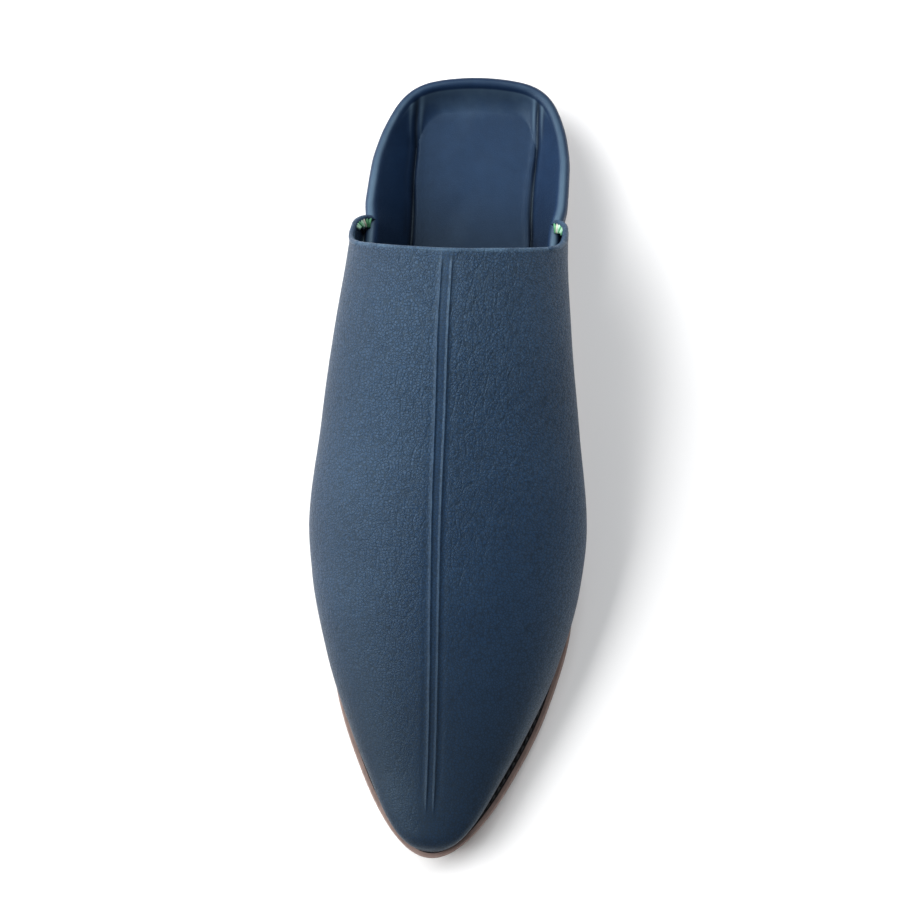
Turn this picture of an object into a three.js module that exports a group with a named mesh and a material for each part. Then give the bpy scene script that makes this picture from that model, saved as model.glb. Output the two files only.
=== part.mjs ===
// Babouche slipper: a pointed leather slipper with a long vamp and its back folded down
// on the insole. Millimetres, +Z up, toe towards -Y, heel towards +Y, the ground at Z = 0.
// The form is symmetric about the plane X = 0, so the slipper fits either foot.

import * as THREE from "three";
import { mergeVertices } from "three/addons/utils/BufferGeometryUtils.js";

// ---------------------------------------------------------------- driving dimensions

const LENGTH = 265;            // toe tip to the back of the heel, over the sole
const BALL_WIDTH = 92;         // widest place of the upper
const INSTEP_RISE = 57.5;      // ridge of the vamp over the sole, at the throat
const CORNER_HEIGHT = 35;      // throat corners above the ground
const RIM_HEIGHT = 33;         // folded rim above the ground where the vamp covers it
const BACK_HEIGHT = 14;        // folded rim above the ground at the very back

const SOLE_THICKNESS = 4;
const SOLE_CHAMFER = 0.7;      // broken edge of the sole leather
const TOE_SPRING = 7;          // rise of the sole's tip
const TOE_SPRING_START = 72;   // from the toe tip, where the sole leaves the ground
const ARCH_RISE = 1.8;
const ARCH_FRONT = 125;
const ARCH_BACK = 200;

const VAMP_WALL = 1.8;
const VAMP_TOE_STEP = 2;       // sole standing out before the vamp's tip
const THROAT_CENTRE = 191;     // from the toe tip to the middle of the throat edge
const THROAT_SLOPE = 0.36;     // how far the throat edge runs back for each mm it drops
const THROAT_CORNER_EXTRA = 5; // further back at the corners
const THROAT_CORNER_START = 0.55; // share of the drop from which the edge sweeps back
const INNER_TIP_STEP = 1.4 * VAMP_WALL; // from the tip outside to the tip inside

const BACK_WALL = 1.6;         // leather of the folded back
const BACK_FRONT_END = 193;    // from the toe tip, where the back ends under the vamp
const BACK_END = LENGTH;       // from the toe tip to the outside of the back rim
const FOLD_RADIUS = 2;
const CREASE_HALF = 21;        // half the width of the panel between the two creases
const FAN_CENTRE = 232;        // from the toe tip, where the rays of the heel meet
const BACK_SLOPE_WIDTH = 11;   // how far the turned-in leather curves down at the back
const BACK_CURVE_START = 0.5;  // how squarely a ray points back where its slope starts to hollow
const BACK_CURVE_FULL = 0.95;  // and where it is fully hollow

const INSOLE_THICKNESS = 1.6;
const INSOLE_WIDTH_SHARE = 0.81; // of the sole's width
const INSOLE_TOE_STEP = 8;     // from the sole's tip
const INSOLE_BACK_STEP = 6.2;  // from the sole's back
const INSOLE_CHAMFER = 0.3;

const GAP = 0.3;               // between pieces that touch in the real slipper

// ---------------------------------------------------------------- tables of the form
// "along" is a share of LENGTH from the toe tip, widths are shares of half BALL_WIDTH,
// rises are shares of INSTEP_RISE above the sole.

const SOLE_OUTLINE = [
  { along: 0.000, half: 0.000 },
  { along: 0.022, half: 0.250 },
  { along: 0.046, half: 0.366 },
  { along: 0.094, half: 0.533 },
  { along: 0.192, half: 0.772 },
  { along: 0.290, half: 0.900 },
  { along: 0.404, half: 0.935 },
  { along: 0.528, half: 0.838 },
  { along: 0.642, half: 0.742 },
  { along: 0.755, half: 0.700 },
  { along: 0.868, half: 0.680 },
  { along: 0.943, half: 0.605 },
  { along: 0.981, half: 0.462 },
  { along: 1.000, half: 0.000 },
];

// base: the vamp's foot on the sole; side: its widest place, at sideRise; ridge: its top;
// crown: 1 is a round top, more is a narrower, more roof-like one.
const VAMP_SECTIONS = [
  { along: 0.000, base: 0.000, side: 0.000, sideRise: 0.000, ridge: 0.000, crown: 1.00 },
  { along: 0.015, base: 0.178, side: 0.205, sideRise: 0.042, ridge: 0.097, crown: 1.00 },
  { along: 0.038, base: 0.283, side: 0.313, sideRise: 0.059, ridge: 0.141, crown: 1.00 },
  { along: 0.087, base: 0.436, side: 0.466, sideRise: 0.083, ridge: 0.222, crown: 1.02 },
  { along: 0.136, base: 0.562, side: 0.606, sideRise: 0.104, ridge: 0.307, crown: 1.04 },
  { along: 0.234, base: 0.757, side: 0.832, sideRise: 0.143, ridge: 0.475, crown: 1.08 },
  { along: 0.332, base: 0.870, side: 0.968, sideRise: 0.195, ridge: 0.632, crown: 1.12 },
  { along: 0.396, base: 0.895, side: 1.000, sideRise: 0.280, ridge: 0.724, crown: 1.15 },
  { along: 0.521, base: 0.810, side: 0.920, sideRise: 0.440, ridge: 0.871, crown: 1.20 },
  { along: 0.634, base: 0.722, side: 0.838, sideRise: 0.560, ridge: 0.967, crown: 1.25 },
  { along: 0.747, base: 0.699, side: 0.777, sideRise: 0.600, ridge: 1.022, crown: 1.25 },
  { along: 0.860, base: 0.698, side: 0.767, sideRise: 0.600, ridge: 1.058, crown: 1.25 },
];

// The folded back: rim is the outside of the fold in plan, lean is how far the foot of
// the wall stands inside it (mm), drop goes from 0 at RIM_HEIGHT to 1 at BACK_HEIGHT.
const BACK_SECTIONS = [
  { along: 0.7283, rim: 0.708, lean: 3.9, drop: 0.00 },
  { along: 0.7790, rim: 0.713, lean: 4.0, drop: 0.12 },
  { along: 0.8150, rim: 0.742, lean: 4.2, drop: 0.29 },
  { along: 0.8680, rim: 0.736, lean: 4.1, drop: 0.52 },
  { along: 0.9060, rim: 0.705, lean: 3.6, drop: 0.70 },
  { along: 0.9430, rim: 0.640, lean: 3.1, drop: 0.85 },
  { along: 0.9700, rim: 0.556, lean: 2.6, drop: 0.94 },
  { along: 0.9890, rim: 0.418, lean: 2.2, drop: 0.99 },
  { along: 1.0000, rim: 0.000, lean: 2.0, drop: 1.00 },
];

// ---------------------------------------------------------------- how fine the facets are

const SOLE_STATIONS = 44;
const VAMP_STATIONS = 28;
const VAMP_HALF_FACETS = 17;   // from the sole to the ridge, on each side
const VAMP_LOW_FACETS = 5;     // of those, from the sole to the widest place
const BACK_RAYS = 40;
const PANEL_FACETS = 4;
const SLOPE_FACETS = 4;
const FOLD_FACETS = 4;
const WALL_FACETS = 4;

const QUARTER_TURN = Math.PI / 2;
const SOLVE_STEPS = 12;        // repeats that settle the throat edge and the fold's tangent
const FIRST_DIP = 0.8;         // radians, where the search for the fold's tangent starts
const TURN_STEP = 0.02;        // between neighbours that give the vamp's normal, round it
const ALONG_STEP = 0.5;        // and along it, in mm
const SHORTEST_EDGE = 1e-5;
const MERGE_DISTANCE = 1e-4;

// ---------------------------------------------------------------- reading the tables

const HALF_BALL = BALL_WIDTH / 2;
const alongToY = (along) => along - LENGTH / 2;
const roundEnds = (share) => Math.acos(1 - 2 * THREE.MathUtils.clamp(share, 0, 1)) / Math.PI;

/** A smooth curve without overshoot through the rows of a table, over key(row). */
function smoothColumn(rows, key, column) {
  const x = rows.map(key);
  const y = rows.map((row) => row[column]);
  const last = rows.length - 1;
  const secant = [];
  for (let i = 0; i < last; i += 1) {
    secant.push((y[i + 1] - y[i]) / (x[i + 1] - x[i]));
  }
  const slope = [secant[0]];
  for (let i = 1; i < last; i += 1) {
    const sameSign = secant[i - 1] * secant[i] > 0;
    const harmonic = (2 * secant[i - 1] * secant[i]) / (secant[i - 1] + secant[i]);
    slope.push(sameSign ? harmonic : 0);
  }
  slope.push(secant[last - 1]);
  return (at) => {
    const place = THREE.MathUtils.clamp(at, x[0], x[last]);
    let i = 0;
    while (i < last - 1 && place > x[i + 1]) {
      i += 1;
    }
    const width = x[i + 1] - x[i];
    const u = (place - x[i]) / width;
    const u2 = u * u;
    const u3 = u2 * u;
    return (2 * u3 - 3 * u2 + 1) * y[i]
      + (u3 - 2 * u2 + u) * width * slope[i]
      + (3 * u2 - 2 * u3) * y[i + 1]
      + (u3 - u2) * width * slope[i + 1];
  };
}

const byRoundEnds = (row) => roundEnds(row.along);

// ---------------------------------------------------------------- the sole's long profile

/** Height of the sole's underside at a distance from the toe tip. */
function soleBottom(along) {
  if (along < TOE_SPRING_START) {
    return TOE_SPRING * (1 - along / TOE_SPRING_START) ** 2;
  }
  if (along > ARCH_FRONT && along < ARCH_BACK) {
    const share = (along - ARCH_FRONT) / (ARCH_BACK - ARCH_FRONT);
    return ARCH_RISE * Math.sin(Math.PI * share) ** 2;
  }
  return 0;
}

const soleTop = (along) => soleBottom(along) + SOLE_THICKNESS;
const insoleTop = (along) => soleTop(along) + GAP + INSOLE_THICKNESS;

// ---------------------------------------------------------------- building closed skins

/** Collects four-sided faces, seen from outside in counter-clockwise order. */
class Skin {
  constructor() {
    this.positions = [];
  }

  triangle(a, b, c) {
    const shortest = Math.min(a.distanceTo(b), b.distanceTo(c), c.distanceTo(a));
    if (shortest > SHORTEST_EDGE) {
      this.positions.push(a.x, a.y, a.z, b.x, b.y, b.z, c.x, c.y, c.z);
    }
  }

  quad(a, b, c, d) {
    this.triangle(a, b, c);
    this.triangle(a, c, d);
  }

  /** Faces between neighbouring rows of points; flip turns them to the other side. */
  grid(rows, flip = false) {
    for (let i = 0; i < rows.length - 1; i += 1) {
      this.strip(rows[i], rows[i + 1], flip);
    }
  }

  strip(first, second, flip = false) {
    for (let j = 0; j < first.length - 1; j += 1) {
      if (flip) {
        this.quad(first[j], second[j], second[j + 1], first[j + 1]);
      } else {
        this.quad(first[j], first[j + 1], second[j + 1], second[j]);
      }
    }
  }

  geometry() {
    const loose = new THREE.BufferGeometry();
    loose.setAttribute("position", new THREE.Float32BufferAttribute(this.positions, 3));
    const merged = mergeVertices(loose, MERGE_DISTANCE);
    merged.computeVertexNormals();
    return merged;
  }
}

const mirrored = (point) => new THREE.Vector3(-point.x, point.y, point.z);

/** A flat piece of leather between two heights, inside an outline, with broken edges. */
function flatPiece(halfAt, front, back, bottomAt, thickness, chamfer, stations) {
  const rings = { lowInner: [], low: [], high: [], highInner: [] };
  for (let i = 0; i <= stations; i += 1) {
    const share = (1 - Math.cos((Math.PI * i) / stations)) / 2;
    const along = front + share * (back - front);
    const half = i === 0 || i === stations ? 0 : halfAt(along);
    const inset = Math.min(chamfer, half);
    const innerAlong = THREE.MathUtils.clamp(along, front + chamfer, back - chamfer);
    const bottom = bottomAt(along);
    const innerBottom = bottomAt(innerAlong);
    const y = alongToY(along);
    const innerY = alongToY(innerAlong);
    rings.lowInner.push(new THREE.Vector3(half - inset, innerY, innerBottom));
    rings.low.push(new THREE.Vector3(half, y, bottom + chamfer));
    rings.high.push(new THREE.Vector3(half, y, bottom + thickness - chamfer));
    rings.highInner.push(new THREE.Vector3(half - inset, innerY, innerBottom + thickness));
  }
  const skin = new Skin();
  const right = [rings.lowInner, rings.low, rings.high, rings.highInner];
  const left = right.map((ring) => ring.map(mirrored));
  skin.grid(right, false);
  skin.grid(left, true);
  skin.strip(left[0], right[0], false);
  skin.strip(left[3], right[3], true);
  return skin.geometry();
}

// ---------------------------------------------------------------- outsole and insole

const soleHalfShare = smoothColumn(SOLE_OUTLINE, byRoundEnds, "half");
const soleHalf = (along) => HALF_BALL * soleHalfShare(roundEnds(along / LENGTH));

function outsoleGeometry() {
  return flatPiece(soleHalf, 0, LENGTH, soleBottom, SOLE_THICKNESS, SOLE_CHAMFER, SOLE_STATIONS);
}

// ---------------------------------------------------------------- vamp

const vamp = {};
for (const column of ["base", "side", "sideRise", "ridge", "crown"]) {
  vamp[column] = smoothColumn(VAMP_SECTIONS, byRoundEnds, column);
}

/** A point of the vamp's outside: turn runs 0..1 from the sole to the ridge, on +X. */
function vampPoint(along, turn) {
  const place = roundEnds((along - VAMP_TOE_STEP) / LENGTH);
  const base = HALF_BALL * vamp.base(place);
  const side = HALF_BALL * vamp.side(place);
  const sideRise = INSTEP_RISE * vamp.sideRise(place);
  const ridge = INSTEP_RISE * vamp.ridge(place);
  const foot = soleTop(along) + GAP;
  const lowShare = VAMP_LOW_FACETS / VAMP_HALF_FACETS;
  if (turn <= lowShare) {
    const up = turn / lowShare;
    const out = Math.sin(QUARTER_TURN * up);
    return new THREE.Vector3(base + (side - base) * out, alongToY(along), foot + sideRise * up);
  }
  const angle = QUARTER_TURN * ((turn - lowShare) / (1 - lowShare));
  const x = side * Math.max(Math.cos(angle), 0) ** vamp.crown(place);
  const z = foot + sideRise + (ridge - sideRise) * Math.sin(angle);
  return new THREE.Vector3(turn === 1 ? 0 : x, alongToY(along), z);
}

/** Distance from the toe tip to the vamp's edge, at one turn of the section. */
function vampEnd(turn) {
  const ridgeHeight = vampPoint(THROAT_CENTRE, 1).z;
  const cornerDrop = ridgeHeight - CORNER_HEIGHT;
  let end = THROAT_CENTRE;
  for (let step = 0; step < SOLVE_STEPS; step += 1) {
    const drop = Math.min(ridgeHeight - vampPoint(end, turn).z, cornerDrop);
    const share = THREE.MathUtils.smoothstep(drop / cornerDrop, THROAT_CORNER_START, 1);
    end = THROAT_CENTRE + THROAT_SLOPE * drop + THROAT_CORNER_EXTRA * share;
  }
  return end;
}

/** The vamp's inside, one wall thickness in from the outside along its normal. */
function vampInner(along, turn) {
  const here = vampPoint(along, turn);
  const lower = vampPoint(along, Math.max(turn - TURN_STEP, 0));
  const upper = turn === 1 ? mirrored(lower) : vampPoint(along, Math.min(turn + TURN_STEP, 1));
  const ahead = vampPoint(along + ALONG_STEP, turn);
  const behind = vampPoint(along - ALONG_STEP, turn);
  const across = upper.sub(lower);
  const lengthwise = ahead.sub(behind);
  const inward = across.cross(lengthwise).normalize();
  return here.addScaledVector(inward, VAMP_WALL);
}

function vampRow(share, pointAt) {
  const half = [];
  for (let j = 0; j <= VAMP_HALF_FACETS; j += 1) {
    const turn = j / VAMP_HALF_FACETS;
    const along = VAMP_TOE_STEP + share * (vampEnd(turn) - VAMP_TOE_STEP);
    half.push(pointAt(along, turn));
  }
  const otherHalf = half.slice(0, -1).map(mirrored).reverse();
  return half.concat(otherHalf);
}

function vampGeometry() {
  const outer = [];
  const inner = [];
  for (let i = 0; i <= VAMP_STATIONS; i += 1) {
    const share = 1 - Math.cos(QUARTER_TURN * (i / VAMP_STATIONS));
    outer.push(vampRow(share, vampPoint));
    inner.push(vampRow(share, vampInner));
  }
  const tip = new THREE.Vector3(0, alongToY(VAMP_TOE_STEP), soleTop(VAMP_TOE_STEP) + GAP);
  const innerTip = tip.clone().add(new THREE.Vector3(0, INNER_TIP_STEP, 0));
  outer[0] = outer[0].map(() => tip);
  inner[0] = inner[0].map(() => innerTip);
  const skin = new Skin();
  const footEdge = (rows, j) => rows.map((row) => row[j]);
  const lastPoint = outer[0].length - 1;
  skin.grid(outer, true);
  skin.grid(inner, false);
  skin.strip(footEdge(inner, 0), footEdge(outer, 0), false);
  skin.strip(footEdge(inner, lastPoint), footEdge(outer, lastPoint), true);
  skin.strip(inner[VAMP_STATIONS], outer[VAMP_STATIONS], false);
  return skin.geometry();
}

// ---------------------------------------------------------------- folded back

/** Rays are evenly spaced in this share, which slows down towards the back of the heel. */
const backShare = (along) => {
  const share = (along - BACK_FRONT_END) / (BACK_END - BACK_FRONT_END);
  return Math.asin(THREE.MathUtils.clamp(share, 0, 1)) / QUARTER_TURN;
};
const byBackShare = (row) => backShare(row.along * LENGTH);
const back = {};
for (const column of ["rim", "lean", "drop"]) {
  back[column] = smoothColumn(BACK_SECTIONS, byBackShare, column);
}

/** One cut through the back, from the middle of the heel out to the foot of the wall. */
function backRay(share, side) {
  const rimAlong = BACK_FRONT_END + (BACK_END - BACK_FRONT_END) * Math.sin(QUARTER_TURN * share);
  const rimX = share === 1 ? 0 : HALF_BALL * back.rim(share);
  const middleAlong = Math.min(rimAlong, FAN_CENTRE);
  const reach = Math.hypot(rimX, rimAlong - middleAlong);
  const outX = rimX / reach;
  const outAlong = (rimAlong - middleAlong) / reach;
  const rimTop = THREE.MathUtils.lerp(RIM_HEIGHT, BACK_HEIGHT, back.drop(share));

  // Where the turned-in leather leaves the panel: at the crease, or near the back's curve.
  const creaseReach = rimX > CREASE_HALF ? reach * (CREASE_HALF / rimX) : reach;
  const slopeFoot = Math.min(creaseReach, reach - BACK_SLOPE_WIDTH);
  const curve = 1 + THREE.MathUtils.smoothstep(outAlong, BACK_CURVE_START, BACK_CURVE_FULL);
  const panelTop = (r) => {
    const along = middleAlong + outAlong * r;
    return insoleTop(along) + GAP + BACK_WALL;
  };

  // The fold is an arc that the slope meets along its tangent.
  const foldR = reach - FOLD_RADIUS;
  const foldZ = rimTop - FOLD_RADIUS;
  const footZ = panelTop(slopeFoot);
  let dip = FIRST_DIP;
  for (let step = 0; step < SOLVE_STEPS; step += 1) {
    const tangentR = foldR - FOLD_RADIUS * Math.sin(dip);
    const tangentZ = foldZ + FOLD_RADIUS * Math.cos(dip);
    dip = Math.atan2((tangentZ - footZ) * curve, tangentR - slopeFoot);
  }
  const startR = foldR - FOLD_RADIUS * Math.sin(dip);
  const startZ = foldZ + FOLD_RADIUS * Math.cos(dip);

  const profile = [];
  for (let k = 0; k < PANEL_FACETS; k += 1) {
    const r = slopeFoot * (k / PANEL_FACETS);
    profile.push([r, panelTop(r)]);
  }
  for (let k = 0; k < SLOPE_FACETS; k += 1) {
    const u = k / SLOPE_FACETS;
    profile.push([slopeFoot + (startR - slopeFoot) * u, footZ + (startZ - footZ) * u ** curve]);
  }
  for (let k = 0; k <= FOLD_FACETS; k += 1) {
    const angle = (QUARTER_TURN + dip) * (1 - k / FOLD_FACETS);
    profile.push([foldR + FOLD_RADIUS * Math.cos(angle), foldZ + FOLD_RADIUS * Math.sin(angle)]);
  }
  const lean = back.lean(share);
  const wallFoot = soleTop(rimAlong) + GAP;
  for (let k = 1; k <= WALL_FACETS; k += 1) {
    const down = k / WALL_FACETS;
    const inwards = lean * (1 - Math.sin(QUARTER_TURN * (1 - down)));
    profile.push([reach - inwards, foldZ + (wallFoot - foldZ) * down]);
  }

  const place = ([r, z]) => new THREE.Vector3(
    side * outX * r,
    alongToY(middleAlong + outAlong * r),
    z,
  );
  const under = profile.map(([r, z], k) => {
    const before = profile[Math.max(k - 1, 0)];
    const after = profile[Math.min(k + 1, profile.length - 1)];
    const dr = after[0] - before[0];
    const dz = after[1] - before[1];
    const size = Math.hypot(dr, dz);
    const inner = [r + (dz / size) * BACK_WALL, z - (dr / size) * BACK_WALL];
    if (k === 0) {
      return [0, z - BACK_WALL];
    }
    return k === profile.length - 1 ? [inner[0], wallFoot] : inner;
  });
  return { top: profile.map(place), under: under.map(place) };
}

function backGeometry() {
  const rays = [];
  for (let i = 0; i <= BACK_RAYS; i += 1) {
    rays.push(backRay(i / BACK_RAYS, 1));
  }
  for (let i = BACK_RAYS - 1; i >= 0; i -= 1) {
    rays.push(backRay(i / BACK_RAYS, -1));
  }
  const tops = rays.map((ray) => ray.top);
  const unders = rays.map((ray) => ray.under);
  const lastRay = rays.length - 1;
  const lastPoint = tops[0].length - 1;
  const wallEdge = (rows) => rows.map((row) => row[lastPoint]);
  const skin = new Skin();
  skin.grid(tops, false);
  skin.grid(unders, true);
  skin.strip(wallEdge(unders), wallEdge(tops), false);
  skin.strip(unders[0], tops[0], false);
  skin.strip(unders[lastRay], tops[lastRay], true);
  return skin.geometry();
}

// ---------------------------------------------------------------- insole

/** The insole has the sole's outline, drawn in to lie inside both walls. */
function insoleGeometry() {
  const front = INSOLE_TOE_STEP;
  const end = LENGTH - INSOLE_BACK_STEP;
  const halfAt = (along) => {
    const samePlaceOnSole = (LENGTH * (along - front)) / (end - front);
    return INSOLE_WIDTH_SHARE * soleHalf(samePlaceOnSole);
  };
  const bottomAt = (along) => soleTop(along) + GAP;
  return flatPiece(
    halfAt, front, end, bottomAt, INSOLE_THICKNESS, INSOLE_CHAMFER, SOLE_STATIONS,
  );
}

// ---------------------------------------------------------------- the slipper

const LEATHERS = {
  outsole: { color: 0x7a645f, roughness: 0.75, metalness: 0 },
  insole: { color: 0x2a3a50, roughness: 0.6, metalness: 0 },
  upper: { color: 0x2b4464, roughness: 0.5, metalness: 0 },
  quarter: { color: 0x2f4a69, roughness: 0.45, metalness: 0 },
};

const slipper = new THREE.Group();

function addPiece(name, geometry) {
  const mesh = new THREE.Mesh(geometry, new THREE.MeshStandardMaterial(LEATHERS[name]));
  mesh.name = name;
  slipper.add(mesh);
}

addPiece("outsole", outsoleGeometry());
addPiece("insole", insoleGeometry());
addPiece("upper", vampGeometry());
addPiece("quarter", backGeometry());

export default slipper;
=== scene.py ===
"""Babouche slipper in navy leather: fine surfaces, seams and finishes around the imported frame."""
import logging
import math
from dataclasses import dataclass, field
from enum import Enum
from typing import Callable, Sequence

import bmesh
import bpy
import numpy as np
from mathutils import Matrix, Vector


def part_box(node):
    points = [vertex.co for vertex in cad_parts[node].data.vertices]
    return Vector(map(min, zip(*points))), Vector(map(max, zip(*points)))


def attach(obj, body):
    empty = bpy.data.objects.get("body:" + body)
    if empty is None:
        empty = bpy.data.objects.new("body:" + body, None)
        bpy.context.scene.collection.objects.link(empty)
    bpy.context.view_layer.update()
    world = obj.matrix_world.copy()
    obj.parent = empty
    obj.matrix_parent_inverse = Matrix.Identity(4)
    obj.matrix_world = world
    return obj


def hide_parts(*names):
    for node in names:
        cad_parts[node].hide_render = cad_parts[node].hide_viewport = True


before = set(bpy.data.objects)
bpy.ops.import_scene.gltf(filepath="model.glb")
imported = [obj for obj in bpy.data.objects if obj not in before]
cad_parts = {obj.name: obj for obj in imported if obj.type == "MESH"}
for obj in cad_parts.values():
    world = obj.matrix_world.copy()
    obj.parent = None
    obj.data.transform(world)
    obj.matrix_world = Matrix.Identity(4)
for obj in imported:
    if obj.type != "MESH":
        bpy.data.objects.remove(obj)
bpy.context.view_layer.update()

log = logging.getLogger("slipper")

MM = 0.001  # the form is worked out in millimetres, and Blender holds metres
ROOT = "root"
MERGE_DISTANCE = 2e-7  # in metres: points nearer than this are one
TINY = 1e-9
WAVER_WEIGHTS = (0.6, 0.3, 0.15)  # of the longest wave and its next two octaves

Points = np.ndarray
Curve = Callable[[np.ndarray], np.ndarray]


# ------------------------------------------------------------------ small mathematics


def smoothstep(value: Points, low: float, high: float) -> Points:
    """Rise softly from 0 at low to 1 at high.

    Args:
        value: Where to read the step.
        low: Last place of the 0.
        high: First place of the 1.

    Returns:
        The step, between 0 and 1.
    """
    share = np.clip((np.asarray(value, float) - low) / (high - low), 0.0, 1.0)
    return share * share * (3.0 - 2.0 * share)


def hump(distance: Points, half_width: float) -> Points:
    """Return a soft bump, 1 at distance 0 and near 0 past twice half_width."""
    return np.exp(-((np.asarray(distance, float) / half_width) ** 2))


@dataclass(frozen=True)
class Fold:
    """A soft ridge beside a line: how far off it lies, half its width, and how strong it is."""

    off: float
    half_width: float
    amount: float = 1.0

    def at(self, distance: Points) -> Points:
        """Return its height at a distance from the line."""
        return self.amount * hump(distance - self.off, self.half_width)


def wobble(at: Points, seed: int, period: float) -> Points:
    """Return a slow hand-made waver between about -1 and 1.

    Args:
        at: Places along the line.
        seed: Which waver.
        period: Length of its longest wave, in the units of at.

    Returns:
        The waver at each place.
    """
    rng = np.random.default_rng(seed)
    total = np.zeros_like(np.asarray(at, float))
    for octave, weight in enumerate(WAVER_WEIGHTS):
        phase = rng.uniform(0.0, 2.0 * math.pi)
        total = total + weight * np.sin(2.0 * math.pi * at * (octave + 1.0) / period + phase)
    return total


def round_ends(share: Points) -> Points:
    """Turn a share of a length into the angle that makes both ends of an outline round."""
    return np.arccos(1.0 - 2.0 * np.clip(share, 0.0, 1.0)) / math.pi


def close_ends(start: float, end: float, count: int) -> Points:
    """Return count + 1 places from start to end that lie closer together near both."""
    return start + (end - start) * (1.0 - np.cos(math.pi * np.linspace(0.0, 1.0, count + 1))) / 2.0


def walked_length(path: Points) -> Points:
    """Return how far along a path each of its points lies."""
    return np.concatenate([[0.0], np.cumsum(np.linalg.norm(np.diff(path, axis=0), axis=1))])


def cubic(u: Points, width: Points, ends: Sequence[Points], slopes: Sequence[Points]) -> Points:
    """Read a cubic curve between two places.

    Args:
        u: Share of the way from the first place to the second.
        width: The distance between them.
        ends: The values at both.
        slopes: The slopes at both.

    Returns:
        The value at each share.
    """
    start = (2 * u**3 - 3 * u**2 + 1) * ends[0] + (u**3 - 2 * u**2 + u) * width * slopes[0]
    end = (3 * u**2 - 2 * u**3) * ends[1] + (u**3 - u**2) * width * slopes[1]
    return start + end


@dataclass(frozen=True)
class Table:
    """Sections of a form: a name for each column and a row for each section."""

    columns: tuple[str, ...]
    rows: tuple[tuple[float, ...], ...]

    def column(self, name: str) -> Points:
        """Return one column."""
        return np.array([row[self.columns.index(name)] for row in self.rows])

    def curve(self, name: str, key: Curve) -> Curve:
        """Return a smooth curve, without overshoot, through one column.

        Args:
            name: The column.
            key: Turns the first column into the place on the curve.

        Returns:
            A function of that place.
        """
        x, y = key(self.column(self.columns[0])), self.column(name)
        secant = np.diff(y) / np.diff(x)
        slope = np.concatenate([secant[:1], np.zeros(len(x) - 2), secant[-1:]])
        for i in range(1, len(x) - 1):
            before, after = secant[i - 1], secant[i]
            if before * after > 0:
                slope[i] = 2.0 * before * after / (before + after)

        def read(at: Points) -> Points:
            """Read the curve at some places.

            Args:
                at: The places, in the units of key.

            Returns:
                The value at each place.
            """
            at = np.clip(at, x[0], x[-1])
            i = np.clip(np.searchsorted(x, at, side="left") - 1, 0, len(x) - 2)
            width = x[i + 1] - x[i]
            return cubic((at - x[i]) / width, width, (y[i], y[i + 1]), (slope[i], slope[i + 1]))

        return read


# ------------------------------------------------------------------ the form of the last


SOLE_OUTLINE = Table(
    ("along", "half"),
    (
        (0.000, 0.000),
        (0.022, 0.250),
        (0.046, 0.366),
        (0.094, 0.533),
        (0.192, 0.772),
        (0.290, 0.900),
        (0.404, 0.935),
        (0.528, 0.838),
        (0.642, 0.742),
        (0.755, 0.700),
        (0.868, 0.680),
        (0.943, 0.605),
        (0.981, 0.462),
        (1.000, 0.000),
    ),
)

VAMP_SECTIONS = Table(
    ("along", "base", "side", "side_rise", "ridge", "crown"),
    (
        (0.000, 0.000, 0.000, 0.000, 0.000, 1.00),
        (0.015, 0.178, 0.205, 0.042, 0.097, 1.00),
        (0.038, 0.283, 0.313, 0.059, 0.141, 1.00),
        (0.087, 0.436, 0.466, 0.083, 0.222, 1.02),
        (0.136, 0.562, 0.606, 0.104, 0.307, 1.04),
        (0.234, 0.757, 0.832, 0.143, 0.475, 1.08),
        (0.332, 0.870, 0.968, 0.195, 0.632, 1.12),
        (0.396, 0.895, 1.000, 0.280, 0.724, 1.15),
        (0.521, 0.810, 0.920, 0.440, 0.871, 1.20),
        (0.634, 0.722, 0.838, 0.560, 0.967, 1.25),
        (0.747, 0.699, 0.777, 0.600, 1.022, 1.25),
        (0.860, 0.698, 0.767, 0.600, 1.058, 1.25),
    ),
)

BACK_SECTIONS = Table(
    ("along", "rim", "lean", "drop"),
    (
        (0.7283, 0.708, 3.9, 0.00),
        (0.7790, 0.713, 4.0, 0.12),
        (0.8150, 0.742, 4.2, 0.29),
        (0.8680, 0.736, 4.1, 0.52),
        (0.9060, 0.705, 3.6, 0.70),
        (0.9430, 0.640, 3.1, 0.85),
        (0.9700, 0.556, 2.6, 0.94),
        (0.9890, 0.418, 2.2, 0.99),
        (1.0000, 0.000, 2.0, 1.00),
    ),
)


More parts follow.
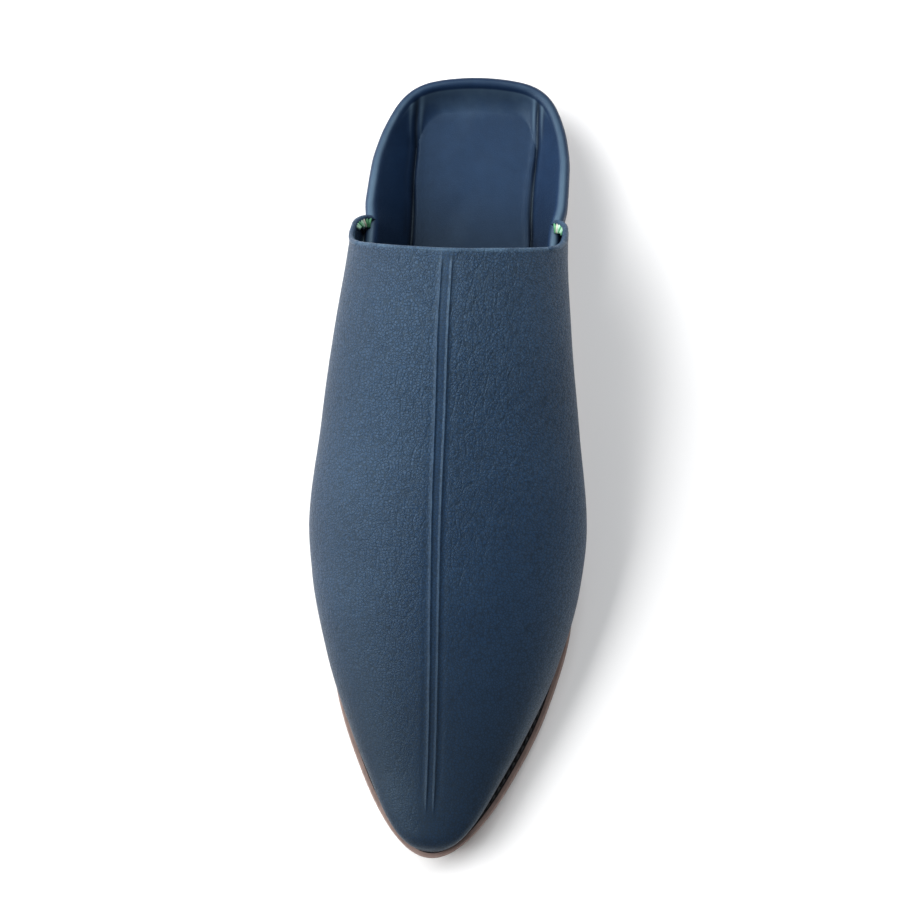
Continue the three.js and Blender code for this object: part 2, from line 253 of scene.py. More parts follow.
@dataclass
class LastForm:
    """The slipper's form in millimetres: toe towards -Y, ground at Z = 0."""

    length: float
    ball_width: float
    instep_rise: float = 57.5
    corner_height: float = 35.0
    rim_height: float = 33.0
    back_height: float = 14.0
    sole_thickness: float = 4.0
    toe_spring: float = 7.0
    toe_spring_start: float = 72.0
    arch_rise: float = 1.8
    arch_front: float = 125.0
    arch_back: float = 200.0
    vamp_toe_step: float = 2.0
    throat_centre: float = 191.0
    throat_slope: float = 0.36
    throat_corner_extra: float = 5.0
    throat_corner_start: float = 0.55  # share of the drop from which the edge sweeps back
    solve_steps: int = 12
    low_share: float = 5.0 / 17.0  # of a half section, from the sole to the widest place
    back_front: float = 193.0
    insole_thickness: float = 1.6
    gap: float = 0.3

    @classmethod
    def from_frame(cls) -> "LastForm":
        """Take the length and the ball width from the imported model.

        Returns:
            The form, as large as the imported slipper.
        """
        sole_low, sole_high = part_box("outsole")
        vamp_low, vamp_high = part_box("upper")
        length = (sole_high[1] - sole_low[1]) / MM
        return cls(length=length, ball_width=(vamp_high[0] - vamp_low[0]) / MM)

    def __post_init__(self) -> None:
        """Make the smooth curves through the tables."""
        self.half_ball = self.ball_width / 2.0
        self.sole_share = SOLE_OUTLINE.curve("half", round_ends)
        names = VAMP_SECTIONS.columns[1:]
        self.vamp = {name: VAMP_SECTIONS.curve(name, round_ends) for name in names}
        names = BACK_SECTIONS.columns[1:]
        self.back = {name: BACK_SECTIONS.curve(name, self.back_share_of) for name in names}

    def to_y(self, along: Points) -> Points:
        """Return the Y of a distance from the toe tip."""
        return np.asarray(along, float) - self.length / 2.0

    def sole_bottom(self, along: Points) -> Points:
        """Return the height of the sole's underside.

        Args:
            along: Distance from the toe tip.

        Returns:
            The height above the ground at each distance.
        """
        along = np.asarray(along, float)
        spring = self.toe_spring * np.clip(1.0 - along / self.toe_spring_start, 0.0, None) ** 2
        share = (along - self.arch_front) / (self.arch_back - self.arch_front)
        inside = (share > 0.0) & (share < 1.0)
        return spring + np.where(inside, self.arch_rise * np.sin(math.pi * share) ** 2, 0.0)

    def sole_top(self, along: Points) -> Points:
        """Return the height of the sole's upper face."""
        return self.sole_bottom(along) + self.sole_thickness

    def insole_top(self, along: Points) -> Points:
        """Return the height of the insole's upper face."""
        return self.sole_top(along) + self.gap + self.insole_thickness

    def sole_half(self, along: Points) -> Points:
        """Return half the sole's width."""
        return self.half_ball * self.sole_share(round_ends(np.asarray(along) / self.length))

    def vamp_point(self, along: Points, turn: Points) -> Points:
        """Return points of the vamp's outside, on the +X half.

        Args:
            along: Distance from the toe tip.
            turn: 0 at the sole, 1 at the ridge.

        Returns:
            Points as an array with a last axis of X, Y and Z.
        """
        along, turn = np.broadcast_arrays(np.asarray(along, float), np.asarray(turn, float))
        place = round_ends((along - self.vamp_toe_step) / self.length)
        base = self.half_ball * self.vamp["base"](place)
        side = self.half_ball * self.vamp["side"](place)
        side_rise = self.instep_rise * self.vamp["side_rise"](place)
        ridge = self.instep_rise * self.vamp["ridge"](place)
        foot = self.sole_top(along) + self.gap
        up = np.clip(turn / self.low_share, 0.0, 1.0)
        low_x = base + (side - base) * np.sin(0.5 * math.pi * up)
        low_z = foot + side_rise * up
        over = np.clip((turn - self.low_share) / (1.0 - self.low_share), 0.0, 1.0)
        angle = 0.5 * math.pi * over
        high_x = side * np.clip(np.cos(angle), 0.0, None) ** self.vamp["crown"](place)
        high_z = foot + side_rise + (ridge - side_rise) * np.sin(angle)
        low = turn <= self.low_share
        x = np.where(low, low_x, np.where(turn >= 1.0, 0.0, high_x))
        return np.stack([x, self.to_y(along), np.where(low, low_z, high_z)], axis=-1)

    def vamp_end(self, turn: Points) -> Points:
        """Return the distance from the toe tip to the vamp's edge.

        Args:
            turn: 0 at the sole, 1 at the ridge.

        Returns:
            The distance for each turn.
        """
        ridge_z = self.vamp_point(self.throat_centre, 1.0)[2]
        corner_drop = ridge_z - self.corner_height
        end = np.full(np.shape(turn), self.throat_centre)
        for _ in range(self.solve_steps):
            drop = np.minimum(ridge_z - self.vamp_point(end, turn)[..., 2], corner_drop)
            sweep = smoothstep(drop / corner_drop, self.throat_corner_start, 1.0)
            end = self.throat_centre + self.throat_slope * drop + self.throat_corner_extra * sweep
        return end

    def back_share_of(self, share: Points) -> Points:
        """Return where a share of the length lies on the back, 0 to 1."""
        return self.back_share(share * self.length)

    def back_share(self, along: Points) -> Points:
        """Return where a distance from the toe tip lies on the back, 0 to 1, round at 1."""
        share = (np.asarray(along, float) - self.back_front) / (self.length - self.back_front)
        return np.arcsin(np.clip(share, 0.0, 1.0)) / (0.5 * math.pi)


# ------------------------------------------------------------------ making meshes


class Skin:
    """Collects grids of points as one mesh, with named values at the points."""

    def __init__(self, names: Sequence[str] = ()) -> None:
        """Start an empty skin.

        Args:
            names: The values that each point carries.
        """
        self.names = tuple(names)
        self.points: list[Points] = []
        self.values: dict[str, list[Points]] = {name: [] for name in self.names}
        self.faces: list[tuple[int, ...]] = []
        self.slots: list[int] = []
        self.count = 0

    def add(self, points: Points, **values: Points) -> np.ndarray:
        """Add points in millimetres.

        Args:
            points: Array with a last axis of X, Y and Z.
            **values: A named value for each point, or one for all.

        Returns:
            The points' numbers, in the same arrangement.
        """
        flat = points.reshape(-1, 3)
        numbers = np.arange(self.count, self.count + len(flat)).reshape(points.shape[:-1])
        self.points.append(flat)
        self.count += len(flat)
        for name in self.names:
            given = np.broadcast_to(values.get(name, 0.0), points.shape[:-1])
            self.values[name].append(np.asarray(given, float).reshape(-1))
        return numbers

    def grid(self, rows: np.ndarray, flip: bool = False, slot: int = 0) -> None:
        """Join neighbouring rows of numbered points with four-sided faces.

        Args:
            rows: The points' numbers, in rows.
            flip: Whether the faces turn the other way.
            slot: The faces' place among the piece's materials.
        """
        a, b = rows[:-1, :-1].ravel(), rows[:-1, 1:].ravel()
        c, d = rows[1:, 1:].ravel(), rows[1:, :-1].ravel()
        order = (a, d, c, b) if flip else (a, b, c, d)
        faces = np.stack(order, axis=1).tolist()
        self.faces.extend(map(tuple, faces))
        self.slots.extend([slot] * len(faces))

    def strips(self, first: np.ndarray, second: np.ndarray) -> None:
        """Join the first and last columns of two grids, which closes the sides between them."""
        for column in (0, -1):
            self.grid(np.stack([first[:, column], second[:, column]]), flip=column < 0)

    def cap(self, around: Sequence[int], slot: int = 0) -> None:
        """Close an opening with one face."""
        self.faces.append(tuple(int(number) for number in around))
        self.slots.append(slot)

    def tube(
        self, path: Points, radius: Points, sides: int = 8, slot: int = 0, **values: float
    ) -> None:
        """Add a thread along a path, with closed ends.

        Args:
            path: Its middle line, in millimetres.
            radius: One radius, or one for each point of the path.
            sides: How many sides the thread has.
            slot: Its place among the piece's materials.
            **values: Named values for all its points.
        """
        steps = np.gradient(path, axis=0)
        steps /= np.linalg.norm(steps, axis=1)[:, None]
        helper = np.array([0.0, 0.0, 1.0]) if abs(steps[0, 2]) < 0.8 else np.array([1.0, 0.0, 0.0])
        rings = []
        sizes = np.broadcast_to(radius, (len(path),))
        angles = np.arange(sides) * 2.0 * math.pi / sides
        for centre, step, size in zip(path, steps, sizes):
            across = np.cross(step, helper)
            across /= np.linalg.norm(across)
            helper = np.cross(across, step)
            ring = np.cos(angles)[:, None] * across + np.sin(angles)[:, None] * helper
            rings.append(centre + size * ring)
        numbers = self.add(np.array(rings), **values)
        self.grid(np.concatenate([numbers, numbers[:, :1]], axis=1), slot=slot)
        self.cap(numbers[0], slot)
        self.cap(numbers[-1, ::-1], slot)

    def build(self, name: str, materials: Sequence[bpy.types.Material]) -> bpy.types.Object:
        """Make the object, merging points that coincide and turning all faces outwards.

        Args:
            name: The piece's name.
            materials: Its materials, in the order of their slots.

        Returns:
            The piece, riding on the slipper's body.
        """
        mesh = bpy.data.meshes.new(name)
        mesh.from_pydata((np.concatenate(self.points) * MM).tolist(), [], self.faces)
        for key in self.names:
            layer = mesh.attributes.new(key, "FLOAT", "POINT")
            layer.data.foreach_set("value", np.concatenate(self.values[key]).astype(np.float32))
        mesh.polygons.foreach_set("material_index", self.slots)
        for material in materials:
            mesh.materials.append(material)
        shape = bmesh.new()
        shape.from_mesh(mesh)
        bmesh.ops.remove_doubles(shape, verts=shape.verts, dist=MERGE_DISTANCE)
        bmesh.ops.recalc_face_normals(shape, faces=shape.faces)
        for face in shape.faces:
            face.smooth = True
        shape.to_mesh(mesh)
        shape.free()
        piece = bpy.data.objects.new(name, mesh)
        bpy.context.scene.collection.objects.link(piece)
        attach(piece, ROOT)
        return piece


def mirror(points: Points) -> Points:
    """Return the points on the other side of the slipper's middle."""
    return points * np.array([-1.0, 1.0, 1.0])


def mirror_plan(plan: Points) -> Points:
    """Return plan points on the other side of the slipper's middle."""
    return plan * np.array([-1.0, 1.0])


def grid_normals(points: Points) -> Points:
    """Work out a unit normal for each point of a grid, from its neighbours.

    Args:
        points: The grid, with a last axis of X, Y and Z.

    Returns:
        The normals, in the same arrangement.
    """
    down = np.gradient(points, axis=0)
    across = np.gradient(points, axis=1)
    normals = np.cross(down, across)
    size = np.linalg.norm(normals, axis=-1, keepdims=True)
    return normals / np.maximum(size, TINY)


# ------------------------------------------------------------------ shader building


class Nodes:
    """A short way to write a node tree."""

    def __init__(self, tree: bpy.types.NodeTree) -> None:
        """Wrap one tree."""
        self.tree = tree

    def add(self, kind: str, settings: dict | None = None, **inputs: object) -> bpy.types.Node:
        """Add a node.

        Args:
            kind: The node's type, without the word ShaderNode.
            settings: Properties of the node itself.
            **inputs: Input sockets by name, with _ for a blank: a value or another socket.

        Returns:
            The node.
        """
        node = self.tree.nodes.new("ShaderNode" + kind)
        for key, value in (settings or {}).items():
            setattr(node, key, value)
        for key, value in inputs.items():
            self.feed(self.socket(node, key), value)
        return node

    @staticmethod
    def socket(node: bpy.types.Node, key: str) -> bpy.types.NodeSocket:
        """Find an enabled input of a node.

        Args:
            node: The node.
            key: The input's name, with _ for a blank, or i and its number.

        Returns:
            The input.
        """
        if key[0] == "i" and key[1:].isdigit():
            return node.inputs[int(key[1:])]
        wanted = key.replace("_", " ")
        return next(s for s in node.inputs if s.name == wanted and s.enabled)

    def feed(self, socket: bpy.types.NodeSocket, value: object) -> None:
        """Link a socket to another one, or set its value.

        Args:
            socket: The input to feed.
            value: Another socket, or a value; a colour may leave out its alpha.
        """
        if isinstance(value, bpy.types.NodeSocket):
            self.tree.links.new(value, socket)
        elif isinstance(value, tuple) and len(value) == 3 and socket.type == "RGBA":
            socket.default_value = (*value, 1.0)
        else:
            socket.default_value = value

    def maths(self, operation: str, *values: object) -> bpy.types.NodeSocket:
        """Return the result of one piece of arithmetic."""
        inputs = {f"i{number}": value for number, value in enumerate(values)}
        return self.add("Math", {"operation": operation}, **inputs).outputs[0]

    def span(
        self, value: object, low: float, high: float, to_low: float = 0.0, to_high: float = 1.0
    ) -> bpy.types.NodeSocket:
        """Map a value softly from one range to another.

        Args:
            value: The value or socket to map.
            low: Start of the range it comes from.
            high: End of that range.
            to_low: Start of the range it goes to.
            to_high: End of that range.

        Returns:
            The mapped value.
        """
        limits = {"From_Min": low, "From_Max": high, "To_Min": to_low, "To_Max": to_high}
        soft = {"interpolation_type": "SMOOTHSTEP"}
        return self.add("MapRange", soft, Value=value, **limits).outputs[0]

    def blend(self, share: object, first: object, second: object) -> bpy.types.NodeSocket:
        """Return first and second colours mixed by a share."""
        node = self.add("Mix", {"data_type": "RGBA"}, i0=share, i6=first, i7=second)
        return node.outputs[2]

    def vector(self, operation: str, *values: object, **inputs: object) -> bpy.types.NodeSocket:
        """Return the result of one piece of vector arithmetic."""
        inputs.update({f"i{number}": value for number, value in enumerate(values)})
        return self.add("VectorMath", {"operation": operation}, **inputs).outputs[0]

    def relief(
        self, height: object, distance: float, strength: float = 1.0
    ) -> bpy.types.NodeSocket:
        """Return the normal that a height gives the surface."""
        return self.add("Bump", Height=height, Distance=distance, Strength=strength).outputs[0]

    def value_of(self, name: str) -> bpy.types.NodeSocket:
        """Return a named value that the mesh carries."""
        return self.add("Attribute", {"attribute_name": name}).outputs["Fac"]

    def place(self) -> bpy.types.NodeSocket:
        """Return the point on the object, in metres."""
        return self.add("TexCoord").outputs["Object"]


class SurfaceGroup:
    """A shader node group with named inputs and outputs, built once and used by many materials."""

    def __init__(self, name: str, inputs: dict[str, float | None], outputs: Sequence[str]) -> None:
        """Make the empty group.

        Args:
            name: The group's name.
            inputs: Each input's name with its first value, or None for a vector.
            outputs: Each output's name.
        """
        self.tree = bpy.data.node_groups.new(name, "ShaderNodeTree")
        for key, value in inputs.items():
            kind = "NodeSocketVector" if value is None else "NodeSocketFloat"
            made = self.tree.interface.new_socket(name=key, in_out="INPUT", socket_type=kind)
            if value is not None:
                made.default_value = value
        for key in outputs:
            self.tree.interface.new_socket(name=key, in_out="OUTPUT", socket_type="NodeSocketFloat")
        self.nodes = Nodes(self.tree)
        self.inside = self.tree.nodes.new("NodeGroupInput").outputs
        self.outside = self.tree.nodes.new("NodeGroupOutput").inputs

    def place_in(self, nodes: Nodes, **inputs: object) -> bpy.types.Node:
        """Use the group in a material, with that material's own values.

        Args:
            nodes: The material's nodes.
            **inputs: The group's inputs by name: a value or a socket.

        Returns:
            The placed group.
        """
        node = nodes.tree.nodes.new("ShaderNodeGroup")
        node.node_tree = self.tree
        for key, value in inputs.items():
            nodes.feed(nodes.socket(node, key), value)
        return node


# Scales are per metre, widths are shares of a cell.
GRAIN_DRIFT_SCALE = 420.0
GRAIN_CELLS = ((1.0, 0.22, 0.62), (2.3, 0.30, 0.38))  # scale, valley width and weight of each
WRINKLE_SCALE = 330.0
WRINKLE_SQUEEZE = (1.0, 0.45, 0.8)
WRINKLE_WIDTH = 0.16
MOTTLE_SCALE = 260.0
# The lighter-edge mask: wear on the sole, painted highlight on the navy leather.
WEAR_AND_HIGHLIGHT_PATCH_SCALE = 180.0
WEAR_AND_HIGHLIGHT_FROM, WEAR_AND_HIGHLIGHT_FULL = 0.25, 0.85
MIDDLE_GREY = 0.5


def leather_grain() -> SurfaceGroup:
    """Build the pebbled grain of leather: cells parted by fine valleys, crossed by wrinkles.

    Returns:
        The group, which gives the height and the valleys between the pebbles.
    """
    inputs = {"Vector": None, "Cells": 800.0, "Stretch": 0.0006, "Wrinkles": 0.4}
    group = SurfaceGroup("leather_grain", inputs, ("Height", "Valleys"))
    nodes, inside = group.nodes, group.inside
    drift = nodes.add("TexNoise", Vector=inside["Vector"], Scale=GRAIN_DRIFT_SCALE, Detail=2.0)
    centred = nodes.vector("SUBTRACT", drift.outputs["Color"], (MIDDLE_GREY,) * 3)
    bent = nodes.vector("SCALE", centred, Scale=inside["Stretch"])
    place = nodes.vector("ADD", inside["Vector"], bent)

    def valleys(where: bpy.types.NodeSocket, scale: object, width: float) -> bpy.types.NodeSocket:
        """Return 0 in the valleys between cells and 1 on the cells."""
        cells = nodes.add(
            "TexVoronoi", {"feature": "DISTANCE_TO_EDGE"}, Vector=where, Scale=scale
        )
        return nodes.span(cells.outputs["Distance"], 0.0, width)

    parts = []
    for share, width, weight in GRAIN_CELLS:
        scale = nodes.maths("MULTIPLY", inside["Cells"], share)
        parts.append(nodes.maths("MULTIPLY", valleys(place, scale, width), weight))
    pebble = nodes.maths("ADD", *parts)
    squeezed = nodes.vector("MULTIPLY", place, WRINKLE_SQUEEZE)
    wrinkle = valleys(squeezed, WRINKLE_SCALE, WRINKLE_WIDTH)
    sunk = nodes.maths("SUBTRACT", wrinkle, 1.0)
    folded = nodes.maths("MULTIPLY", sunk, inside["Wrinkles"])
    nodes.feed(group.outside["Height"], nodes.maths("ADD", pebble, folded))
    nodes.feed(group.outside["Valleys"], nodes.maths("SUBTRACT", 1.0, pebble))
    return group


def centred_noise(
    nodes: Nodes, place: bpy.types.NodeSocket, scale: float, detail: float, amount: object
) -> bpy.types.NodeSocket:
    """Make noise around 0.

    Args:
        nodes: The nodes to add it to.
        place: Where it is read.
        scale: Its scale, per metre.
        detail: How many octaves it has.
        amount: What it is multiplied by.

    Returns:
        The noise.
    """
    noise = nodes.add("TexNoise", Vector=place, Scale=scale, Detail=detail)
    return nodes.maths("MULTIPLY", nodes.maths("SUBTRACT", noise.outputs[0], MIDDLE_GREY), amount)


def tone_drift() -> SurfaceGroup:
    """Build the slow change of tone over a dyed hide: clouds with a little mottle in them.

    Returns:
        The group, which gives the tone.
    """
    group = SurfaceGroup("tone_drift", {"Vector": None, "Size": 18.0, "Mottle": 0.3}, ("Tone",))
    nodes, inside = group.nodes, group.inside
    clouds = nodes.add("TexNoise", Vector=inside["Vector"], Scale=inside["Size"], Detail=3.0)
    extra = centred_noise(nodes, inside["Vector"], MOTTLE_SCALE, 4.0, inside["Mottle"])
    nodes.feed(group.outside["Tone"], nodes.maths("ADD", clouds.outputs[0], extra))
    return group


def wear_and_highlight_edge() -> SurfaceGroup:
    """Build the mask of a lighter edge: a carried value, broken up so that it isn't a clean band.
    On the sole it is wear; on the navy leather it is a painted highlight.

    Returns:
        The group, which gives the mask.
    """
    group = SurfaceGroup("wear_and_highlight_edge", {"Vector": None, "Edge": 0.0, "Breaks": 0.5}, ("Mask",))
    nodes, inside = group.nodes, group.inside
    broken = centred_noise(nodes, inside["Vector"], WEAR_AND_HIGHLIGHT_PATCH_SCALE, 3.0, inside["Breaks"])
    worn_and_lit = nodes.maths("ADD", inside["Edge"], broken)
    nodes.feed(group.outside["Mask"], nodes.span(worn_and_lit, WEAR_AND_HIGHLIGHT_FROM, WEAR_AND_HIGHLIGHT_FULL))
    return group


@dataclass
class SharedEffects:
    """The node groups that several finishes use."""

    grain: SurfaceGroup = field(default_factory=leather_grain)
    tone: SurfaceGroup = field(default_factory=tone_drift)
    wear_and_highlight: SurfaceGroup = field(default_factory=wear_and_highlight_edge)


# ------------------------------------------------------------------ finishes


Colour = tuple[float, float, float]
BLACK: Colour = (0.0, 0.0, 0.0)


def new_material(name: str) -> tuple[bpy.types.Material, Nodes, bpy.types.Node]:
    """Make an empty material with its output.

    Args:
        name: The material's name.

    Returns:
        The material, its nodes, and the output node.
    """
    material = bpy.data.materials.new(name)
    material.use_nodes = True
    material.node_tree.nodes.clear()
    nodes = Nodes(material.node_tree)
    return material, nodes, nodes.add("OutputMaterial")


def close_material(nodes: Nodes, output: bpy.types.Node, **inputs: object) -> None:
    """Finish a material with its Principled shader.

    Args:
        nodes: The material's nodes.
        output: Its output node.
        **inputs: The shader's inputs by name: a value or a socket.
    """
    nodes.feed(output.inputs["Surface"], nodes.add("BsdfPrincipled", **inputs).outputs[0])


@dataclass(frozen=True)
class DyedLeather:
    """Navy leather: dyed through, with its own grain, lighter where a highlight is painted and
    darker where shade is painted.
    """

    name: str
    deep: Colour
    light: Colour
    painted_highlight: Colour
    roughness: float
    cells: float
    grain_depth: float
    wrinkles: float
    valley_tone: float = 0.35
    gloss: float = 0.5
    breaks: float = 0.5
    sheen: Colour = (0.60, 0.84, 1.0)
    shadow: Colour = (0.002, 0.003, 0.006)
    tone_size: float = 16.0
    mottle: float = 0.35
    tone_from: float = 0.32
    tone_full: float = 0.68
    valley_roughness: float = 0.18  # rougher by this in the valleys

    def build(self, effects: SharedEffects) -> bpy.types.Material:
        """Make the material; it reads the values edge (painted highlight), coarse and shade
        (painted shade) from the mesh.

        Args:
            effects: The shared node groups.

        Returns:
            The material.
        """
        material, nodes, output = new_material(self.name)
        place = nodes.place()
        drift = effects.tone.place_in(
            nodes, Vector=place, Size=self.tone_size, Mottle=self.mottle
        )
        grain = effects.grain.place_in(
            nodes, Vector=place, Cells=self.cells, Wrinkles=self.wrinkles
        )
        worn_and_lit = effects.wear_and_highlight.place_in(
            nodes, Vector=place, Edge=nodes.value_of("edge"), Breaks=self.breaks
        )
        tone = nodes.span(drift.outputs["Tone"], self.tone_from, self.tone_full)
        valleys = grain.outputs["Valleys"]
        colour = nodes.blend(tone, self.deep, self.light)
        colour = nodes.blend(nodes.maths("MULTIPLY", valleys, self.valley_tone), colour, BLACK)
        # Painted highlight: the edge value mixes in a lighter blue.
        colour = nodes.blend(worn_and_lit.outputs["Mask"], colour, self.painted_highlight)
        # Painted shade: the shade value mixes in the shadow colour.
        colour = nodes.blend(nodes.value_of("shade"), colour, self.shadow)
        roughest = self.roughness + self.valley_roughness
        rough = nodes.span(valleys, 0.0, 1.0, self.roughness, roughest)
        height = nodes.maths("MULTIPLY", grain.outputs["Height"], nodes.value_of("coarse"))
        close_material(
            nodes,
            output,
            Base_Color=colour,
            Roughness=rough,
            Normal=nodes.relief(height, self.grain_depth),
            Specular_IOR_Level=self.gloss,
            Specular_Tint=self.sheen,
        )
        return material


@dataclass(frozen=True)
class SoleLeather:
    """Natural sole leather: fibrous layered edge, smoother ledge and scuffed tread."""

    edge: Colour = (0.130, 0.086, 0.074)
    pale: Colour = (0.240, 0.168, 0.145)
    tread: Colour = (0.36, 0.24, 0.155)
    fibre_range: tuple[float, float] = (0.3, 0.7)
    # Painted shadow: near-black in the stitch channel and on the ledge under the vamp.
    channel_shadow: Colour = (0.010, 0.009, 0.010)
    layer_squeeze: Colour = (1.0, 1.0, 5.0)
    layer_scale: float = 120.0
    layer_from: float = 0.15
    layer_full: float = 0.85
    fibre_scale: float = 900.0
    fibre_share: float = 0.6
    fibre_depth: float = 0.00025
    stain_size: float = 24.0
    stain_mottle: float = 0.6
    stain_from: float = 0.55
    stain_full: float = 0.85
    stain_share: float = 0.55
    breaks: float = 0.9
    smooth: float = 0.6
    rough: float = 0.85

    def build(self, effects: SharedEffects) -> bpy.types.Material:
        """Make the material; it reads the values edge, tread and seam from the mesh; seam carries
        painted shadow.

        Args:
            effects: The shared node groups.

        Returns:
            The material.
        """
        material, nodes, output = new_material("sole_leather")
        place = nodes.place()
        flat = nodes.vector("MULTIPLY", place, self.layer_squeeze)
        layers = nodes.add("TexNoise", Vector=flat, Scale=self.layer_scale, Detail=5.0).outputs[0]
        fibres = nodes.add("TexNoise", Vector=place, Scale=self.fibre_scale, Detail=4.0).outputs[0]
        drift = effects.tone.place_in(
            nodes, Vector=place, Size=self.stain_size, Mottle=self.stain_mottle
        )
        worn_and_lit = effects.wear_and_highlight.place_in(
            nodes, Vector=place, Edge=nodes.value_of("edge"), Breaks=self.breaks
        )
        layered = nodes.span(layers, self.layer_from, self.layer_full)
        stain = nodes.span(
            drift.outputs["Tone"], self.stain_from, self.stain_full, 0.0, self.stain_share
        )
        colour = nodes.blend(layered, self.edge, self.pale)
        colour = nodes.blend(nodes.value_of("tread"), colour, self.tread)
        colour = nodes.blend(stain, colour, self.edge)
        colour = nodes.blend(worn_and_lit.outputs["Mask"], colour, self.pale)
        # Painted shadow in the stitch channel and on the ledge under the vamp.
        colour = nodes.blend(nodes.value_of("seam"), colour, self.channel_shadow)
        height = nodes.maths("ADD", layers, nodes.maths("MULTIPLY", fibres, self.fibre_share))
        close_material(
            nodes,
            output,
            Base_Color=colour,
            Roughness=nodes.span(fibres, *self.fibre_range, self.smooth, self.rough),
            Normal=nodes.relief(height, self.fibre_depth),
        )
        return material


class ThreadColour(Enum):
    """The sewing threads."""

    GREEN = ("thread_green", (0.10, 0.36, 0.17))
    MINT = ("thread_mint", (0.50, 0.82, 0.60))
    CREAM = ("thread_cream", (0.62, 0.62, 0.52))
    DARK = ("thread_dark", (0.006, 0.007, 0.010))


@dataclass(frozen=True)
class SewingThread:
    """Twisted thread, with a waxed sheen."""

    colour: ThreadColour
    slant: tuple[float, float, float] = (0.5, 0.6, 0.7)
    rib_scale: float = 250.0
    rib_waver: float = 1.5
    rib_depth: float = 0.00012
    rib_strength: float = 0.8
    dark_share: float = 0.55
    tone_size: float = 300.0
    mottle: float = 0.5
    tone_from: float = 0.35
    tone_full: float = 0.65
    roughness: float = 0.55

    def build(self, effects: SharedEffects) -> bpy.types.Material:
        """Make the material, with its twist as fine slanted ribs.

        Args:
            effects: The shared node groups.

        Returns:
            The material.
        """
        name, base = self.colour.value
        material, nodes, output = new_material(name)
        place = nodes.place()
        turned = nodes.add(
            "VectorRotate", {"rotation_type": "EULER_XYZ"}, Vector=place, Rotation=self.slant
        )
        ribs = nodes.add(
            "TexWave", Vector=turned.outputs[0], Scale=self.rib_scale, Distortion=self.rib_waver
        )
        drift = effects.tone.place_in(
            nodes, Vector=place, Size=self.tone_size, Mottle=self.mottle
        )
        tone = nodes.span(drift.outputs["Tone"], self.tone_from, self.tone_full)
        darker = tuple(self.dark_share * part for part in base)
        close_material(
            nodes,
            output,
            Base_Color=nodes.blend(tone, darker, base),
            Roughness=self.roughness,
            Normal=nodes.relief(ribs.outputs["Fac"], self.rib_depth, self.rib_strength),
        )
        return material


@dataclass
class Finishes:
    """Every material of the slipper, each made once."""

    effects: SharedEffects = field(default_factory=SharedEffects)

    def __post_init__(self) -> None:
        """Build the materials."""
        self.vamp = DyedLeather(
            "navy_grain",
            deep=(0.009, 0.029, 0.074),
            light=(0.015, 0.043, 0.100),
            painted_highlight=(0.060, 0.115, 0.185),
            roughness=0.38,
            cells=1020.0,
            grain_depth=0.00012,
            wrinkles=0.60,
            valley_tone=0.75,
        ).build(self.effects)
        self.back = DyedLeather(
            "navy_smooth",
            deep=(0.005, 0.016, 0.046),
            light=(0.008, 0.024, 0.064),
            painted_highlight=(0.075, 0.125, 0.180),
            roughness=0.36,
            cells=1300.0,
            grain_depth=0.000018,
            wrinkles=0.15,
            valley_tone=0.12,
            gloss=0.28,
            breaks=0.15,
        ).build(self.effects)
        self.sock = DyedLeather(
            "navy_sock",
            deep=(0.008, 0.014, 0.028),
            light=(0.012, 0.022, 0.042),
            painted_highlight=(0.05, 0.07, 0.10),
            roughness=0.5,
            cells=1100.0,
            grain_depth=0.000018,
            wrinkles=0.2,
            valley_tone=0.15,
        ).build(self.effects)
        self.sole = SoleLeather().build(self.effects)
        self.threads = {
            colour: SewingThread(colour).build(self.effects) for colour in ThreadColour
        }


# ------------------------------------------------------------------ the pieces


